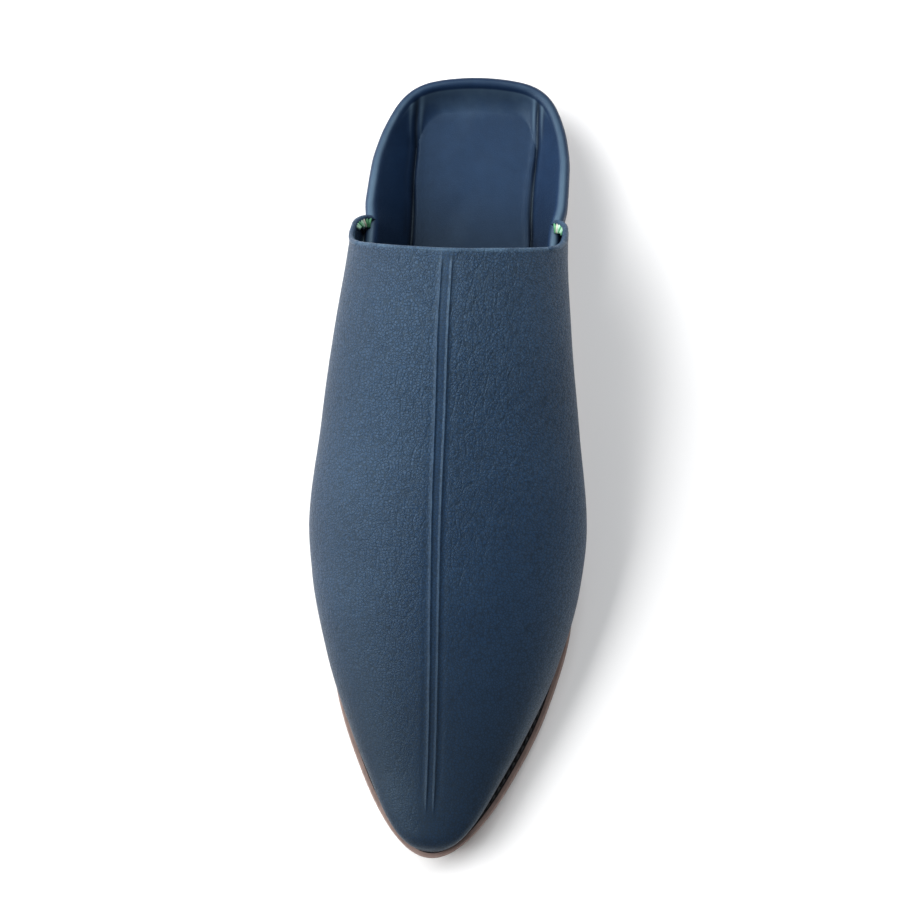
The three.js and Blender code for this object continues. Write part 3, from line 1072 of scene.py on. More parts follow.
@dataclass
class Outsole:
    """The leather sole with rounded edges, plain underneath, and a stitched ledge on top."""

    form: LastForm
    stations: int = 220
    edge_round: float = 0.7
    ledge: float = 6.0
    seam_inset: float = 2.4
    seam_half_width: float = 0.75
    seam_depth: float = 0.40
    seam_end: float = 196.0
    seam_fade: float = 12.0
    seam_steps: int = 7
    seam_lip: float = 0.12
    lip_wear: float = 0.15
    # Painted shadow on the ledge under the vamp, as a share of the channel's.
    ledge_shadow: float = 0.6
    round_steps: int = 5
    tread_start: float = 2.2  # in edge rounds, from the outline to the flat underside
    wall_shares: tuple[float, ...] = (0.35, 0.5, 0.65)
    least_out: float = 1e-3

    def ring(self, along: Points) -> Points:
        """Work out the outline on +X in plan, and which way is out.

        Args:
            along: Distances from the toe tip, from 0 to the sole's length.

        Returns:
            The X and Y of the outline and of the outward direction, side by side.
        """
        half = self.form.sole_half(along)
        half[0] = half[-1] = 0.0
        plan = np.stack([half, self.form.to_y(along)], axis=-1)
        whole = np.concatenate([mirror_plan(plan[2:0:-1]), plan, mirror_plan(plan[-2:-4:-1])])
        step = np.gradient(whole, axis=0)[2:-2]
        out = np.stack([step[:, 1], -step[:, 0]], axis=-1)
        out /= np.linalg.norm(out, axis=1)[:, None]
        out[0], out[-1] = (0.0, -1.0), (0.0, 1.0)
        return np.concatenate([plan, out], axis=1)

    def corner(self) -> list[tuple[float, float, float]]:
        """Return the steps of a rounded edge: how far in, how far down, and its wear."""
        angles = np.linspace(0.0, 0.5 * math.pi, self.round_steps)
        return [
            (
                self.edge_round * (1.0 - math.cos(angle)),
                self.edge_round * (1.0 - math.sin(angle)),
                math.sin(2.0 * angle),
            )
            for angle in angles
        ]

    def profile(self) -> list[tuple[float, float, float, float, float]]:
        """Work out the cut through the sole's edge.

        Returns:
            Rows of inset, height, and the edge, tread and seam values, from under to over.
        """
        thick = self.form.sole_thickness
        under = (self.ledge, self.edge_round * self.tread_start)
        rows = [(inset, 0.0, 0.0, 1.0, 0.0) for inset in under]
        rows += [(down, inset, wear_and_highlight, 0.0, 0.0) for inset, down, wear_and_highlight in self.corner()]
        rows += [(0.0, thick * share, 0.0, 0.0, 0.0) for share in self.wall_shares]
        rows += [(inset, thick - down, wear_and_highlight, 0.0, 0.0) for inset, down, wear_and_highlight in self.corner()]
        lip = self.seam_inset - self.seam_half_width - self.seam_lip
        rows.append((lip, thick, self.lip_wear, 0.0, 0.0))
        # The channel rows carry the seam value of painted shadow; the ledge row carries a lighter
        # one.
        for step in np.linspace(-1.0, 1.0, self.seam_steps):
            inset = self.seam_inset + self.seam_half_width * step
            rows.append((inset, thick - self.seam_depth * (1.0 - step**4), 0.0, 0.0, 1.0))
        rows.append((self.ledge, thick, 0.0, 0.0, self.ledge_shadow))
        return rows

    def build(self, finishes: Finishes) -> bpy.types.Object:
        """Make the sole and put it in place of its solid.

        Args:
            finishes: The slipper's materials.

        Returns:
            The piece.
        """
        form = self.form
        ring = self.ring(close_ends(0.0, form.length, self.stations))
        skin = Skin(("edge", "tread", "seam"))
        columns = {side: [] for side in (1.0, -1.0)}
        for inset, height, edge, tread, seam in self.profile():
            to_middle = ring[:, 0] / np.maximum(ring[:, 2], self.least_out)
            reach = np.where(ring[:, 0] < TINY, inset, np.minimum(inset, to_middle))
            plan = ring[:, :2] - reach[:, None] * ring[:, 2:]
            plan[:, 0] = np.maximum(plan[:, 0], 0.0)
            where = np.clip(plan[:, 1] + form.length / 2.0, 0.0, form.length)
            stitched = 1.0 - smoothstep(where, self.seam_end - self.seam_fade, self.seam_end)
            filled = (form.sole_thickness - height) * (1.0 - stitched) if seam else 0.0
            level = form.sole_bottom(where) + height + filled
            points = np.concatenate([plan, level[:, None]], axis=1)
            marks = {"edge": edge, "tread": tread, "seam": seam * stitched}
            columns[1.0].append(skin.add(points, **marks))
            columns[-1.0].append(skin.add(mirror(points), **marks))
        for side, numbers in columns.items():
            skin.grid(np.stack(numbers), flip=side < 0)
        for row in (0, -1):
            skin.grid(np.stack([columns[1.0][row], columns[-1.0][row]]), flip=row < 0)
        piece = skin.build("sole_leather", [finishes.sole])
        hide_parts("outsole")
        return piece


@dataclass
class Insole:
    """The thin sock on which the foot rests."""

    form: LastForm
    width_share: float = 0.81
    toe_step: float = 8.0
    back_step: float = 6.2
    stations: int = 120
    across: int = 24
    edge_round: float = 0.5

    def build(self, finishes: Finishes) -> bpy.types.Object:
        """Make the insole and put it in place of its solid.

        Args:
            finishes: The slipper's materials.

        Returns:
            The piece.
        """
        form = self.form
        share = close_ends(0.0, 1.0, self.stations)
        along = self.toe_step + share * (form.length - self.back_step - self.toe_step)
        half = self.width_share * form.sole_half(share * form.length)
        half[0] = half[-1] = 0.0
        side = np.sin(0.5 * math.pi * np.linspace(-1.0, 1.0, self.across + 1))
        x = half[:, None] * side[None, :]
        inset = (1.0 - np.abs(side))[None, :] * half[:, None]
        sink = self.edge_round * (1.0 - smoothstep(inset, 0.0, 2.0 * self.edge_round))
        y = np.broadcast_to(form.to_y(along)[:, None], x.shape)
        bottom = (form.sole_top(along) + form.gap)[:, None]
        skin = Skin(("edge", "coarse", "shade"))
        top = np.stack([x, y, bottom + form.insole_thickness - sink], axis=-1)
        under = np.stack([x, y, np.broadcast_to(bottom, x.shape)], axis=-1)
        top_numbers = skin.add(top, coarse=1.0)
        under_numbers = skin.add(under, coarse=1.0)
        skin.grid(top_numbers)
        skin.grid(under_numbers, flip=True)
        skin.strips(top_numbers, under_numbers)
        piece = skin.build("insole_sock", [finishes.sock])
        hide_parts("insole")
        return piece


@dataclass
class Vamp:
    """The long pointed upper: a hollow shell with twin raised lines along its middle."""

    form: LastForm
    wall: float = 1.8
    stations: int = 190
    fine_columns: int = 30
    fine_reach: float = 5.0
    coarse_columns: int = 62
    edge_steps: int = 6
    line_height: float = 0.45
    line_half_width: float = 0.34
    line_apart_back: float = 3.3
    line_apart_toe: float = 2.5
    line_spread_start: float = 20.0
    line_toe_end: float = 13.0
    line_toe_fade: float = 12.0
    line_throat_gap: float = 2.4
    line_throat_fade: float = 1.8
    line_waver: float = 0.25
    trough: Fold = Fold(1.5, 1.0, 0.10)
    pressed_line: Fold = Fold(2.6, 1.0, 0.12)
    uneven: float = 0.22
    uneven_start: float = 25.0
    uneven_full: float = 80.0
    ridge_width: float = 0.87  # of half the ball width
    ridge_crown: float = 1.2
    tip_wall: float = 1.4  # in walls: how deep the leather is at the very tip
    coarse_toe: float = 0.30
    coarse_gain: float = 1.05
    coarse_start: float = 30.0
    coarse_full: float = 185.0
    flattened: Fold = Fold(0.0, 3.2, 0.85)  # the grain along the lines
    # Painted shade: the toe is darkened, most at its tip.
    toe_shade: float = 0.58
    toe_shade_start: float = 15.0
    toe_shade_end: float = 115.0
    # Painted highlight along the throat edge and on the raised lines.
    edge_highlight: Fold = Fold(0.0, 0.5, 0.55)
    line_highlight: float = 0.46

    def turns(self) -> Points:
        """Work out the places round a half section.

        Returns:
            Turns from 0 to 1, even on the flank and close together at the ridge.
        """
        form = self.form
        reach = np.linspace(self.fine_reach, 0.0, self.fine_columns + 1)
        over = (reach / (self.ridge_width * form.half_ball)) ** (1 / self.ridge_crown)
        near = 1.0 - (1.0 - form.low_share) * (2.0 / math.pi) * over
        flank = np.linspace(0.0, near[0], self.coarse_columns + 1)[:-1]
        return np.concatenate([flank, near])

    def relief(self, points: Points, along: Points, to_edge: Points) -> tuple[Points, Points]:
        """Return how far the leather stands out of the plain form, in millimetres, and its lines.

        Args:
            points: Points of the plain form.
            along: Their distance from the toe tip.
            to_edge: Their distance from the throat edge.

        Returns:
            The height at each point, and how much of a raised line it is.
        """
        x = points[..., 0]
        share = smoothstep(along, self.line_spread_start, self.form.throat_centre)
        apart = self.line_apart_toe + (self.line_apart_back - self.line_apart_toe) * share
        ends = smoothstep(along, self.line_toe_end, self.line_toe_end + self.line_toe_fade)
        throat = smoothstep(
            to_edge, self.line_throat_gap, self.line_throat_gap + self.line_throat_fade
        )
        ends = ends * throat
        middle = self.line_waver * wobble(along, 11, 160.0)
        from_line = np.abs(x - middle) - apart / 2.0
        lines = hump(from_line, self.line_half_width)
        # The leather is drawn down beside the lines, and pressed a little below the edge.
        height = self.line_height * ends * lines - ends * self.trough.at(from_line)
        height = height - self.pressed_line.at(to_edge)
        # Slow unevenness of hand-lasted leather.
        slow = self.uneven * wobble(along, 21, 90.0) * wobble(x, 22, 70.0)
        return height + slow * smoothstep(along, self.uneven_start, self.uneven_full), ends * lines

    def half_grid(self) -> tuple[Points, Points, Points]:
        """Work out the plain outside on +X.

        Returns:
            Its points, their distances from the toe tip, and those from the throat edge.
        """
        turns = self.turns()
        end = self.form.vamp_end(turns) - self.wall / 2.0
        share = 1.0 - np.cos(0.5 * math.pi * np.linspace(0.0, 1.0, self.stations + 1))
        start = self.form.vamp_toe_step
        along = start + share[:, None] * (end - start)[None, :]
        points = self.form.vamp_point(along, np.broadcast_to(turns, along.shape))
        return points, along, end[None, :] - along

    def build(self, finishes: Finishes) -> bpy.types.Object:
        """Make the shell and put it in place of its solid.

        Args:
            finishes: The slipper's materials.

        Returns:
            The piece.
        """
        form = self.form
        half, along, to_edge = self.half_grid()
        plain = np.concatenate([half, mirror(half)[:, -2::-1]], axis=1)
        along = np.concatenate([along, along[:, -2::-1]], axis=1)
        to_edge = np.concatenate([to_edge, to_edge[:, -2::-1]], axis=1)
        out = -grid_normals(plain[:, ::-1])[:, ::-1]
        if out[self.stations // 2, plain.shape[1] // 2, 2] < 0:
            out = -out
        tip = form.sole_top(form.vamp_toe_step) + form.gap
        plain[0] = (0.0, form.to_y(form.vamp_toe_step), tip)
        out[0] = (0.0, -1.0, 0.0)
        height, lines = self.relief(plain, along, to_edge)
        outer = plain + out * height[..., None]
        outer[0] = plain[0]
        inner = plain - out * self.wall
        inner[:, 0, 2] = plain[:, 0, 2]
        inner[:, -1, 2] = plain[:, -1, 2]
        inner[0] = plain[0] + np.array([0.0, self.tip_wall * self.wall, 0.0])

        # The throat edge is a half round from the outside to the inside.
        middle = (outer[-1] + inner[-1]) / 2.0
        radius = (outer[-1] - inner[-1]) / 2.0
        forward = plain[-1] - plain[-2]
        forward /= np.linalg.norm(forward, axis=1)[:, None]
        arcs = []
        for angle in np.linspace(0.0, math.pi, self.edge_steps + 2)[1:-1]:
            size = np.linalg.norm(radius, axis=1)[:, None]
            arcs.append(middle + radius * math.cos(angle) + forward * size * math.sin(angle))

        skin = Skin(("edge", "coarse", "shade"))
        grained = smoothstep(along, self.coarse_start, self.coarse_full)
        coarse = self.coarse_toe + self.coarse_gain * grained
        coarse = coarse * (1.0 - self.flattened.at(plain[..., 0]))
        # Painted shade darkens the toe.
        toe_shaded = self.toe_shade * (1.0 - smoothstep(along, self.toe_shade_start, self.toe_shade_end))
        # Painted highlight: lighter along the throat edge and on the raised lines.
        wear_and_highlight = self.edge_highlight.at(to_edge) + self.line_highlight * lines
        outer_numbers = skin.add(outer, edge=wear_and_highlight, coarse=coarse, shade=toe_shaded)
        # The round throat edge carries a painted highlight.
        arc_numbers = skin.add(np.array(arcs), edge=0.5, coarse=0.4)
        # The inside carries painted shade.
        inner_numbers = skin.add(inner, coarse=0.3, shade=0.5)
        skin.grid(np.concatenate([outer_numbers, arc_numbers, inner_numbers[::-1]]))
        for column in (0, -1):
            skin.grid(np.stack([outer_numbers[:, column], inner_numbers[:, column]]))
            arc = arc_numbers[:, column]
            skin.cap([outer_numbers[-1, column], *arc, inner_numbers[-1, column]])
        piece = skin.build("vamp", [finishes.vamp])
        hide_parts("upper")
        return piece


@dataclass(frozen=True)
class Cut:
    """One cut through the folded back, from the middle of the heel to the foot of the wall."""

    share: float  # 0 at the vamp, 1 at the very back
    side: float
    reach: float
    rim_top: float
    r: Points
    z: Points
    along: Points


@dataclass
class FoldedBack:
    """The heel leather: an outer wall, folded over along the rim and trodden flat inside."""

    form: LastForm
    leather: float = 1.6
    fold_radius: float = 2.0
    crease_half: float = 21.0
    fan_centre: float = 232.0
    back_slope: float = 11.0
    rays: int = 150
    panel_steps: int = 16
    slope_steps: int = 18
    fold_steps: int = 9
    wall_steps: int = 9
    crease_waver: float = 0.7
    curve_start: float = 0.5  # from here to curve_full the inside slope turns hollow
    curve_full: float = 0.95
    first_dip: float = 0.8
    solve_steps: int = 12
    panel_spread: float = 1.6
    slope_spread: float = 1.4
    pleat: Fold = Fold(0.0, 0.7)
    pleat_depth: float = 0.75
    second_pleat: Fold = Fold(1.9, 0.55, 0.6)
    second_depth: float = 0.4
    rolls: tuple[Fold, ...] = (Fold(1.3, 0.8, 0.35), Fold(-1.4, 0.9, 0.25))
    # Painted highlights beside the pleats.
    shines: tuple[Fold, ...] = (Fold(1.5, 0.6, 0.30), Fold(-1.6, 0.6, 0.30))
    uneven: float = 0.22
    live_start: float = 3.0  # from the very back, where the pleats begin
    live_full: float = 12.0
    # Painted highlight on the rim fold and at the heel end of the panel.
    rim_highlight: Fold = Fold(0.0, 1.7, 0.75)
    rim_highlight_reach: float = 2.6  # in fold radii, down from the rim
    rim_highlight_least: float = 0.45
    heel_highlight: float = 0.50
    heel_start: float = 236.0
    heel_full: float = 264.0
    # Painted shade under the throat and in the pleats.
    throat_shade: float = 0.55
    throat_start: float = 198.0
    throat_end: float = 236.0
    pleat_shade: float = 0.75
    second_shade: float = 0.45
    most_shade: float = 0.9

    def crease(self, along: Points, side: float) -> Points:
        """Return how far from the middle the pleat runs, at distances from the toe tip."""
        seed = 31 if side < 0 else 37
        return self.crease_half + self.crease_waver * wobble(along, seed, 55.0)

    def dress(self, cut: Cut, top: Points) -> dict[str, Points]:
        """Press the pleats into one cut, and work out its named values: edge is painted highlight,
        shade is painted shade.

        Args:
            cut: The plain cut.
            top: Its upper points, whose heights are changed.

        Returns:
            The named values.
        """
        inside = np.arange(len(cut.r)) < self.panel_steps + self.slope_steps
        from_crease = np.abs(top[:, 0]) - self.crease(cut.along, cut.side)
        live = inside * smoothstep(self.form.length - cut.along, self.live_start, self.live_full)
        pleat = self.pleat.at(from_crease)
        fades = smoothstep(wobble(cut.along, 41, 60.0) * cut.side, -0.2, 0.4)
        second = self.second_pleat.at(from_crease) * fades
        roll = sum(fold.at(from_crease) for fold in self.rolls)
        top[:, 2] += live * (roll - self.pleat_depth * pleat - self.second_depth * second)
        waver = wobble(cut.along, 43, 38.0) * wobble(top[:, 0], 44, 30.0)
        top[:, 2] += inside * (self.uneven * waver)

        # Painted highlight: lighter on the rim fold, at the heel end and beside the pleats.
        near_rim = cut.z > cut.rim_top - self.rim_highlight_reach * self.fold_radius
        rim = self.rim_highlight.at(cut.r - (cut.reach - self.fold_radius)) * near_rim
        rim = rim * (self.rim_highlight_least + (1.0 - self.rim_highlight_least) * (1.0 - cut.share))
        heel = self.heel_highlight * inside * smoothstep(cut.along, self.heel_start, self.heel_full)
        shine = live * sum(fold.at(from_crease) for fold in self.shines)
        # Painted shade in the pleats and under the vamp's throat.
        covered = 1.0 - smoothstep(cut.along, self.throat_start, self.throat_end)
        shade = live * (self.pleat_shade * pleat + self.second_shade * second)
        shade = shade + self.throat_shade * inside * covered
        return {
            "edge": rim + heel + shine,
            "shade": np.clip(shade, 0.0, self.most_shade),
            "coarse": np.full(len(cut.r), 1.0),
        }

    def ray(self, share: float, side: float) -> tuple[Points, Points, dict[str, Points]]:
        """Cut through the back from the middle of the heel to the foot of the wall.

        Args:
            share: 0 at the vamp, 1 at the very back.
            side: 1 for +X and -1 for -X.

        Returns:
            The upper points, the under points, and the named values.
        """
        form = self.form
        turned = math.sin(0.5 * math.pi * share)
        rim_along = form.back_front + (form.length - form.back_front) * turned
        rim_x = 0.0 if share == 1 else form.half_ball * float(form.back["rim"](share))
        middle = min(rim_along, self.fan_centre)
        reach = math.hypot(rim_x, rim_along - middle)
        out_x, out_along = rim_x / reach, (rim_along - middle) / reach
        drop = float(form.back["drop"](share))
        rim_top = form.rim_height + (form.back_height - form.rim_height) * drop

        crease_reach = reach * self.crease_half / rim_x if rim_x > self.crease_half else reach
        foot = min(crease_reach, reach - self.back_slope)
        curve = 1.0 + float(smoothstep(out_along, self.curve_start, self.curve_full))

        def panel_top(r: Points) -> Points:
            """Return the height of the trodden panel."""
            return form.insole_top(middle + out_along * r) + form.gap + self.leather

        fold_r, fold_z = reach - self.fold_radius, rim_top - self.fold_radius
        foot_z = float(panel_top(foot))
        dip = self.first_dip
        for _ in range(self.solve_steps):
            start_r = fold_r - self.fold_radius * math.sin(dip)
            start_z = fold_z + self.fold_radius * math.cos(dip)
            dip = math.atan2((start_z - foot_z) * curve, start_r - foot)
        start_r = fold_r - self.fold_radius * math.sin(dip)
        start_z = fold_z + self.fold_radius * math.cos(dip)

        out = np.linspace(0.0, 1.0, self.panel_steps, endpoint=False)
        panel_r = foot * (1.0 - (1.0 - out) ** self.panel_spread)
        up = np.linspace(0.0, 1.0, self.slope_steps, endpoint=False) ** self.slope_spread
        slope_r = foot + (start_r - foot) * up
        slope_z = foot_z + (start_z - foot_z) * up**curve
        turn = (0.5 * math.pi + dip) * (1.0 - np.linspace(0.0, 1.0, self.fold_steps + 1))
        down = np.arange(1, self.wall_steps + 1) / self.wall_steps
        lean = float(form.back["lean"](share))
        wall_foot = float(form.sole_top(rim_along)) + form.gap
        wall_r = reach - lean * (1.0 - np.sin(0.5 * math.pi * (1.0 - down)))
        wall_z = fold_z + (wall_foot - fold_z) * down

        turn_r = fold_r + self.fold_radius * np.cos(turn)
        turn_z = fold_z + self.fold_radius * np.sin(turn)
        r = np.concatenate([panel_r, slope_r, turn_r, wall_r])
        z = np.concatenate([panel_top(panel_r), slope_z, turn_z, wall_z])
        step_r, step_z = np.gradient(r), np.gradient(z)
        size = np.hypot(step_r, step_z)
        under_r = r + step_z / size * self.leather
        under_z = z - step_r / size * self.leather
        under_r[0], under_z[0] = 0.0, z[0] - self.leather
        under_z[-1] = wall_foot

        def place(at_r: Points, at_z: Points) -> Points:
            """Return the points of the cut in the slipper's own frame."""
            y = form.to_y(middle + out_along * at_r)
            return np.stack([side * out_x * at_r, y, at_z], axis=-1)

        top, under = place(r, z), place(under_r, under_z)
        cut = Cut(share, side, reach, rim_top, r, z, middle + out_along * r)
        return top, under, self.dress(cut, top)

    def build(self, finishes: Finishes) -> bpy.types.Object:
        """Make the folded back and put it in place of its solid.

        Args:
            finishes: The slipper's materials.

        Returns:
            The piece.
        """
        shares = np.linspace(0.0, 1.0, self.rays + 1)
        cuts = [self.ray(float(share), 1.0) for share in shares]
        cuts += [self.ray(float(share), -1.0) for share in shares[-2::-1]]
        skin = Skin(("edge", "coarse", "shade"))
        values = {key: np.array([cut[2][key] for cut in cuts]) for key in skin.names}
        top = skin.add(np.array([cut[0] for cut in cuts]), **values)
        # The underside carries painted shade.
        under = skin.add(np.array([cut[1] for cut in cuts]), coarse=0.3, shade=0.4)
        skin.grid(top)
        skin.grid(under, flip=True)
        skin.grid(np.stack([under[:, -1], top[:, -1]]))
        for row in (0, -1):
            skin.grid(np.stack([under[row], top[row]]), flip=row < 0)
        piece = skin.build("folded_back", [finishes.back])
        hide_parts("quarter")
        return piece


@dataclass
class SoleSeam:
    """The dark stitches lying in the channel of the sole's ledge."""

    sole: Outsole
    pitch: float = 3.1
    length: float = 2.4
    radius: float = 0.42
    first: float = 1.2
    points: int = 7
    line_steps: int = 1199
    middle_gap: float = 0.3
    sunk: float = 0.05
    arch: float = 0.25

    def line(self) -> Points:
        """Work out the middle of the channel on +X, from the toe to the end of the vamp.

        Returns:
            Its points.
        """
        form = self.sole.form
        ring = self.sole.ring(close_ends(0.0, form.length, self.line_steps))
        plan = ring[:, :2] - self.sole.seam_inset * ring[:, 2:]
        where = plan[:, 1] + form.length / 2.0
        keep = (plan[:, 0] > self.middle_gap) & (where < self.sole.seam_end - self.sole.seam_fade)
        height = form.sole_top(where) - self.sunk
        return np.concatenate([plan, height[:, None]], axis=1)[keep]

    def build(self, finishes: Finishes) -> bpy.types.Object:
        """Make all the stitches as one piece.

        Args:
            finishes: The slipper's materials.

        Returns:
            The piece.
        """
        line = self.line()
        walked = walked_length(line)
        arch = np.sin(math.pi * np.linspace(0.0, 1.0, self.points))
        skin = Skin()
        for start in np.arange(self.first, walked[-1] - self.length, self.pitch):
            at = start + self.length * np.linspace(0.0, 1.0, self.points)
            path = np.stack([np.interp(at, walked, line[:, axis]) for axis in range(3)], axis=1)
            path[:, 2] += self.arch * arch
            for side_path in (path, mirror(path)):
                skin.tube(side_path, self.radius * (0.5 + 0.5 * arch), sides=8)
        piece = skin.build("sole_seam", [finishes.threads[ThreadColour.DARK]])
        return piece


TURNED_IN = Table(
    ("inward", "backward", "rise"),
    (
        (0.9, 0.0, 0.00),
        (1.0, 1.6, 0.18),
        (1.8, 3.2, 0.42),
        (3.2, 4.5, 0.70),
        (4.7, 5.0, 0.92),
        (5.8, 4.9, 1.03),
    ),
)


@dataclass
class ThroatCorners:
    """The rolled lip at each corner of the throat, and the coloured whip stitches inside it."""

    form: LastForm
    lip_radius: float = 0.95
    hood_wall: float = 0.7
    backing_radius: float = 1.3
    stitch_radius: float = 0.56
    stitch_reach: float = 3.3
    stitch_arch: float = 0.75
    stitch_points: int = 9
    stitches: int = 7
    stitch_from: float = 0.02  # of the lip
    stitch_to: float = 0.90
    pocket_place: float = 205.0
    lip_rest: float = 209.5  # where the lip comes down on the rim
    lip_turns: tuple[float, ...] = (0.52, 0.46, 0.40, 0.35)
    lip_in: float = 0.6
    lip_forward: float = 0.9
    lip_points: int = 60
    lip_least: float = 0.25
    hood_columns: int = 14
    hood_rows: int = 8
    hood_low: float = 0.72
    hood_bulge: float = 0.5
    backing_start: float = 194.0
    backing_end: float = 205.8
    backing_points: int = 12
    backing_drop: float = 3.4

    def rim_top(self, along: float) -> float:
        """Work out the height of the folded rim.

        Args:
            along: Distance from the toe tip.

        Returns:
            The height above the ground.
        """
        form = self.form
        drop = float(form.back["drop"](form.back_share(along)))
        return form.rim_height + (form.back_height - form.rim_height) * drop

    def turned_in(self) -> Points:
        """Work out the lip's free part on +X: from the widest place in over the folded rim.

        Returns:
            Its middle line.
        """
        form = self.form
        corner = form.vamp_point(form.vamp_end(form.low_share), form.low_share)
        over = self.rim_top(self.lip_rest) + self.lip_radius
        x = corner[0] - TURNED_IN.column("inward")
        y = corner[1] + TURNED_IN.column("backward")
        return np.stack([x, y, corner[2] + (over - corner[2]) * TURNED_IN.column("rise")], axis=1)

    def fair(self, path: Points, count: int) -> Points:
        """Smooth a path.

        Args:
            path: Its points.
            count: How many evenly spaced points to return.

        Returns:
            Points on a smooth curve through the path.
        """
        walked = walked_length(path)
        at = np.linspace(0.0, walked[-1], count)
        slope = np.gradient(path, walked, axis=0)
        i = np.clip(np.searchsorted(walked, at) - 1, 0, len(path) - 2)
        width = (walked[i + 1] - walked[i])[:, None]
        u = (at - walked[i])[:, None] / width
        return cubic(u, width, (path[i], path[i + 1]), (slope[i], slope[i + 1]))

    def lip(self) -> Points:
        """Work out the whole lip on +X, from the throat edge to the rim.

        Returns:
            Its middle line.
        """
        form = self.form
        turns = np.array(self.lip_turns)
        edge = form.vamp_point(form.vamp_end(turns), turns)
        edge = edge - np.array([self.lip_in, self.lip_forward, 0.0])
        return self.fair(np.concatenate([edge, self.turned_in()]), self.lip_points)

    def hood(self, skin: Skin, side: float) -> None:
        """Close the small opening between the lip and the vamp's rear edge with leather.

        Args:
            skin: The skin to add it to.
            side: 1 for +X and -1 for -X.
        """
        form = self.form
        lip = self.fair(self.turned_in(), self.hood_columns)
        low = self.hood_low * form.low_share
        turns = np.linspace(form.low_share, low, self.hood_columns)
        edge = form.vamp_point(form.vamp_end(turns) - self.lip_in, turns)
        edge[:, 0] -= self.lip_in
        rows = []
        for share in np.linspace(0.0, 1.0, self.hood_rows):
            row = edge + (lip - edge) * share
            row[:, 0] += self.hood_bulge * math.sin(math.pi * share)
            rows.append(row)
        outer = np.array(rows)
        inner = outer - np.array([self.hood_wall, 0.0, 0.35 * self.hood_wall])
        if side < 0:
            outer, inner = mirror(outer), mirror(inner)
        first = skin.add(outer, coarse=0.5)
        # The inner face carries painted shade.
        second = skin.add(inner, coarse=0.3, shade=0.5)
        skin.grid(first)
        skin.grid(second, flip=True)
        around = [
            np.concatenate([grid[0], grid[1:, -1], grid[-1, -2::-1], grid[-2::-1, 0]])
            for grid in (first, second)
        ]
        skin.grid(np.stack(around))

    def backing(self) -> Points:
        """Work out the seam allowance on +X that fills the pocket's floor.

        Returns:
            Its middle line.
        """
        form = self.form
        along = np.linspace(self.backing_start, self.backing_end, self.backing_points)
        wall = form.half_ball * form.back["rim"](form.back_share(along)) + self.lip_in
        height = np.array([self.rim_top(float(place)) for place in along]) - self.backing_drop
        return np.stack([wall, form.to_y(along), height], axis=1)

    def stitch_paths(self) -> list[Points]:
        """Work out the whip stitches on +X, each from the lip down into the pocket.

        Returns:
            The middle line of each.
        """
        lip = self.fair(self.turned_in(), self.lip_points)
        floor = self.rim_top(self.pocket_place)
        middle = np.array([lip[:, 0].mean(), lip[:, 1].min(), floor]) - np.array([1.6, 0.4, 0.2])
        paths = []
        for share in np.linspace(self.stitch_from, self.stitch_to, self.stitches):
            start = lip[int(share * (len(lip) - 1))] + np.array([0.0, 0.0, 0.35])
            inward = middle - start
            end = start + inward * (self.stitch_reach / np.linalg.norm(inward))
            at = np.linspace(0.0, 1.0, self.stitch_points)[:, None]
            path = start + (end - start) * at
            path[:, 2] += self.stitch_arch * np.sin(math.pi * at[:, 0])
            paths.append(path)
        return paths

    def build(self, finishes: Finishes) -> list[bpy.types.Object]:
        """Make the lips with their hoods, and the stitches, of both corners.

        Args:
            finishes: The slipper's materials.

        Returns:
            The leather and the stitches.
        """
        leather = Skin(("edge", "coarse", "shade"))
        colours = (ThreadColour.GREEN, ThreadColour.MINT, ThreadColour.CREAM)
        order = (0, 1, 1, 0, 1, 2, 0)
        sewing = Skin()
        lip = self.lip()
        walked = np.linspace(0.0, 1.0, len(lip))
        ends = np.sin(math.pi * np.clip(walked * 6.0, 0.0, 0.5))
        last = np.sin(math.pi * np.clip(walked[::-1] * 14.0, 0.0, 0.5))
        radius = self.lip_radius * np.maximum(ends * last, self.lip_least)
        for side in (1.0, -1.0):
            turned = (lambda path: path) if side > 0 else mirror
            # The lip carries a painted highlight.
            leather.tube(turned(lip), radius, sides=14, edge=0.42, coarse=0.4)
            self.hood(leather, side)
            backing = turned(self.backing())
            # The backing carries painted shade, which darkens the pocket.
            leather.tube(backing, self.backing_radius, sides=10, coarse=0.2, shade=0.75)
            for number, stitch in enumerate(self.stitch_paths()):
                pick = order[(number + (side < 0)) % len(order)]
                sewing.tube(turned(stitch), self.stitch_radius, sides=8, slot=pick)
        corners = leather.build("throat_corners", [finishes.vamp])
        stitches = sewing.build("whip_stitches", [finishes.threads[colour] for colour in colours])
        return [corners, stitches]


# ------------------------------------------------------------------ floor, light and camera


@dataclass(frozen=True)
class SoftLight:
    """A rectangular light turned to the slipper: its place and size in metres, power in watts."""

    name: str
    place: tuple[float, float, float]
    size: tuple[float, float]
    power: float


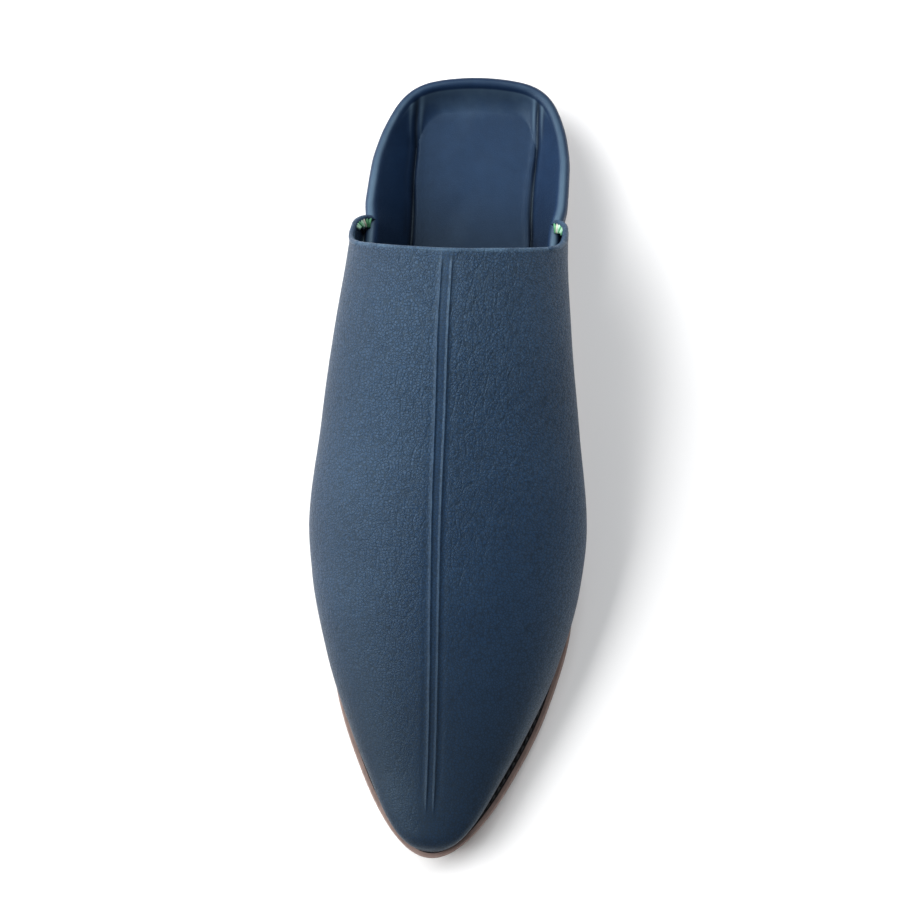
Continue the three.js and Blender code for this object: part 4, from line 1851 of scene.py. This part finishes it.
@dataclass
class Studio:
    """A pale floor, soft light and the camera."""

    centre: tuple[float, float, float] = (0.0, 0.0, 0.025)
    distance: float = 0.556
    lean_right: float = 7.52
    lean_toe: float = 8.0
    turn: float = 3.7
    lens: float = 67.7
    floor_size: float = 6.0
    floor_colour: Colour = (0.90, 0.90, 0.90)
    floor_roughness: float = 0.9
    film_width: float = 36.0
    room_colour: tuple[float, float, float, float] = (0.93, 0.96, 1.0, 1.0)
    room_strength: float = 0.23
    lights: tuple[SoftLight, ...] = (
        SoftLight("window", (-1.02, 0.26, 0.90), (1.9, 1.2), 44.0),
        SoftLight("fill", (0.40, 0.80, 0.96), (0.8, 0.4), 10.0),
    )

    def build(self) -> None:
        """Set up everything that isn't the slipper."""
        self.add_floor()
        self.add_camera()
        for light in self.lights:
            self.add_area(light)
        world = bpy.data.worlds.new("room")
        world.use_nodes = True
        backdrop = world.node_tree.nodes["Background"]
        backdrop.inputs["Color"].default_value = self.room_colour
        backdrop.inputs["Strength"].default_value = self.room_strength
        bpy.context.scene.world = world
        bpy.context.scene.view_settings.view_transform = "Standard"

    def add_floor(self) -> None:
        """Lay the floor."""
        mesh = bpy.data.meshes.new("floor")
        edge = self.floor_size / 2.0
        around = ((-edge, -edge), (edge, -edge), (edge, edge), (-edge, edge))
        mesh.from_pydata([(x, y, 0.0) for x, y in around], [], [(0, 1, 2, 3)])
        floor = bpy.data.objects.new("floor", mesh)
        bpy.context.scene.collection.objects.link(floor)
        material, nodes, output = new_material("pale_floor")
        close_material(
            nodes, output, Base_Color=self.floor_colour, Roughness=self.floor_roughness
        )
        mesh.materials.append(material)

    def add_area(self, light: SoftLight) -> None:
        """Hang one soft light, turned to the slipper.

        Args:
            light: The light.
        """
        lamp = bpy.data.lights.new(light.name, "AREA")
        lamp.shape = "RECTANGLE"
        lamp.size, lamp.size_y = light.size
        lamp.energy = light.power
        holder = bpy.data.objects.new(light.name, lamp)
        holder.location = light.place
        aim = Vector(self.centre) - Vector(light.place)
        holder.rotation_euler = aim.to_track_quat("-Z", "Y").to_euler()
        bpy.context.scene.collection.objects.link(holder)

    def add_camera(self) -> None:
        """Place the camera above the slipper, a little to its right and towards its toe."""
        right = math.sin(math.radians(self.lean_right))
        toe = math.sin(math.radians(self.lean_toe))
        back = Vector((right, -toe, math.sqrt(1.0 - right * right - toe * toe)))
        spin = math.radians(self.turn)
        up = Vector((-math.sin(spin), math.cos(spin), 0.0))
        across = up.cross(back).normalized()
        up = back.cross(across)
        turn = Matrix((across, up, back)).transposed().to_4x4()
        lens = bpy.data.cameras.new("camera")
        lens.lens = self.lens
        lens.sensor_width = self.film_width
        camera = bpy.data.objects.new("camera", lens)
        camera.matrix_world = Matrix.Translation(Vector(self.centre) + self.distance * back) @ turn
        bpy.context.scene.collection.objects.link(camera)
        bpy.context.scene.camera = camera


def main() -> None:
    """Build the slipper's pieces in order, then the studio."""
    logging.basicConfig(level=logging.INFO, format="%(message)s")
    form = LastForm.from_frame()
    finishes = Finishes()
    Studio().build()
    sole = Outsole(form)
    makers = (sole, Insole(form), FoldedBack(form), Vamp(form), SoleSeam(sole), ThroatCorners(form))
    for maker in makers:
        made = maker.build(finishes)
        for piece in made if isinstance(made, list) else [made]:
            log.info("%s: %d faces", piece.name, len(piece.data.polygons))


if __name__ == "__main__":
    main()
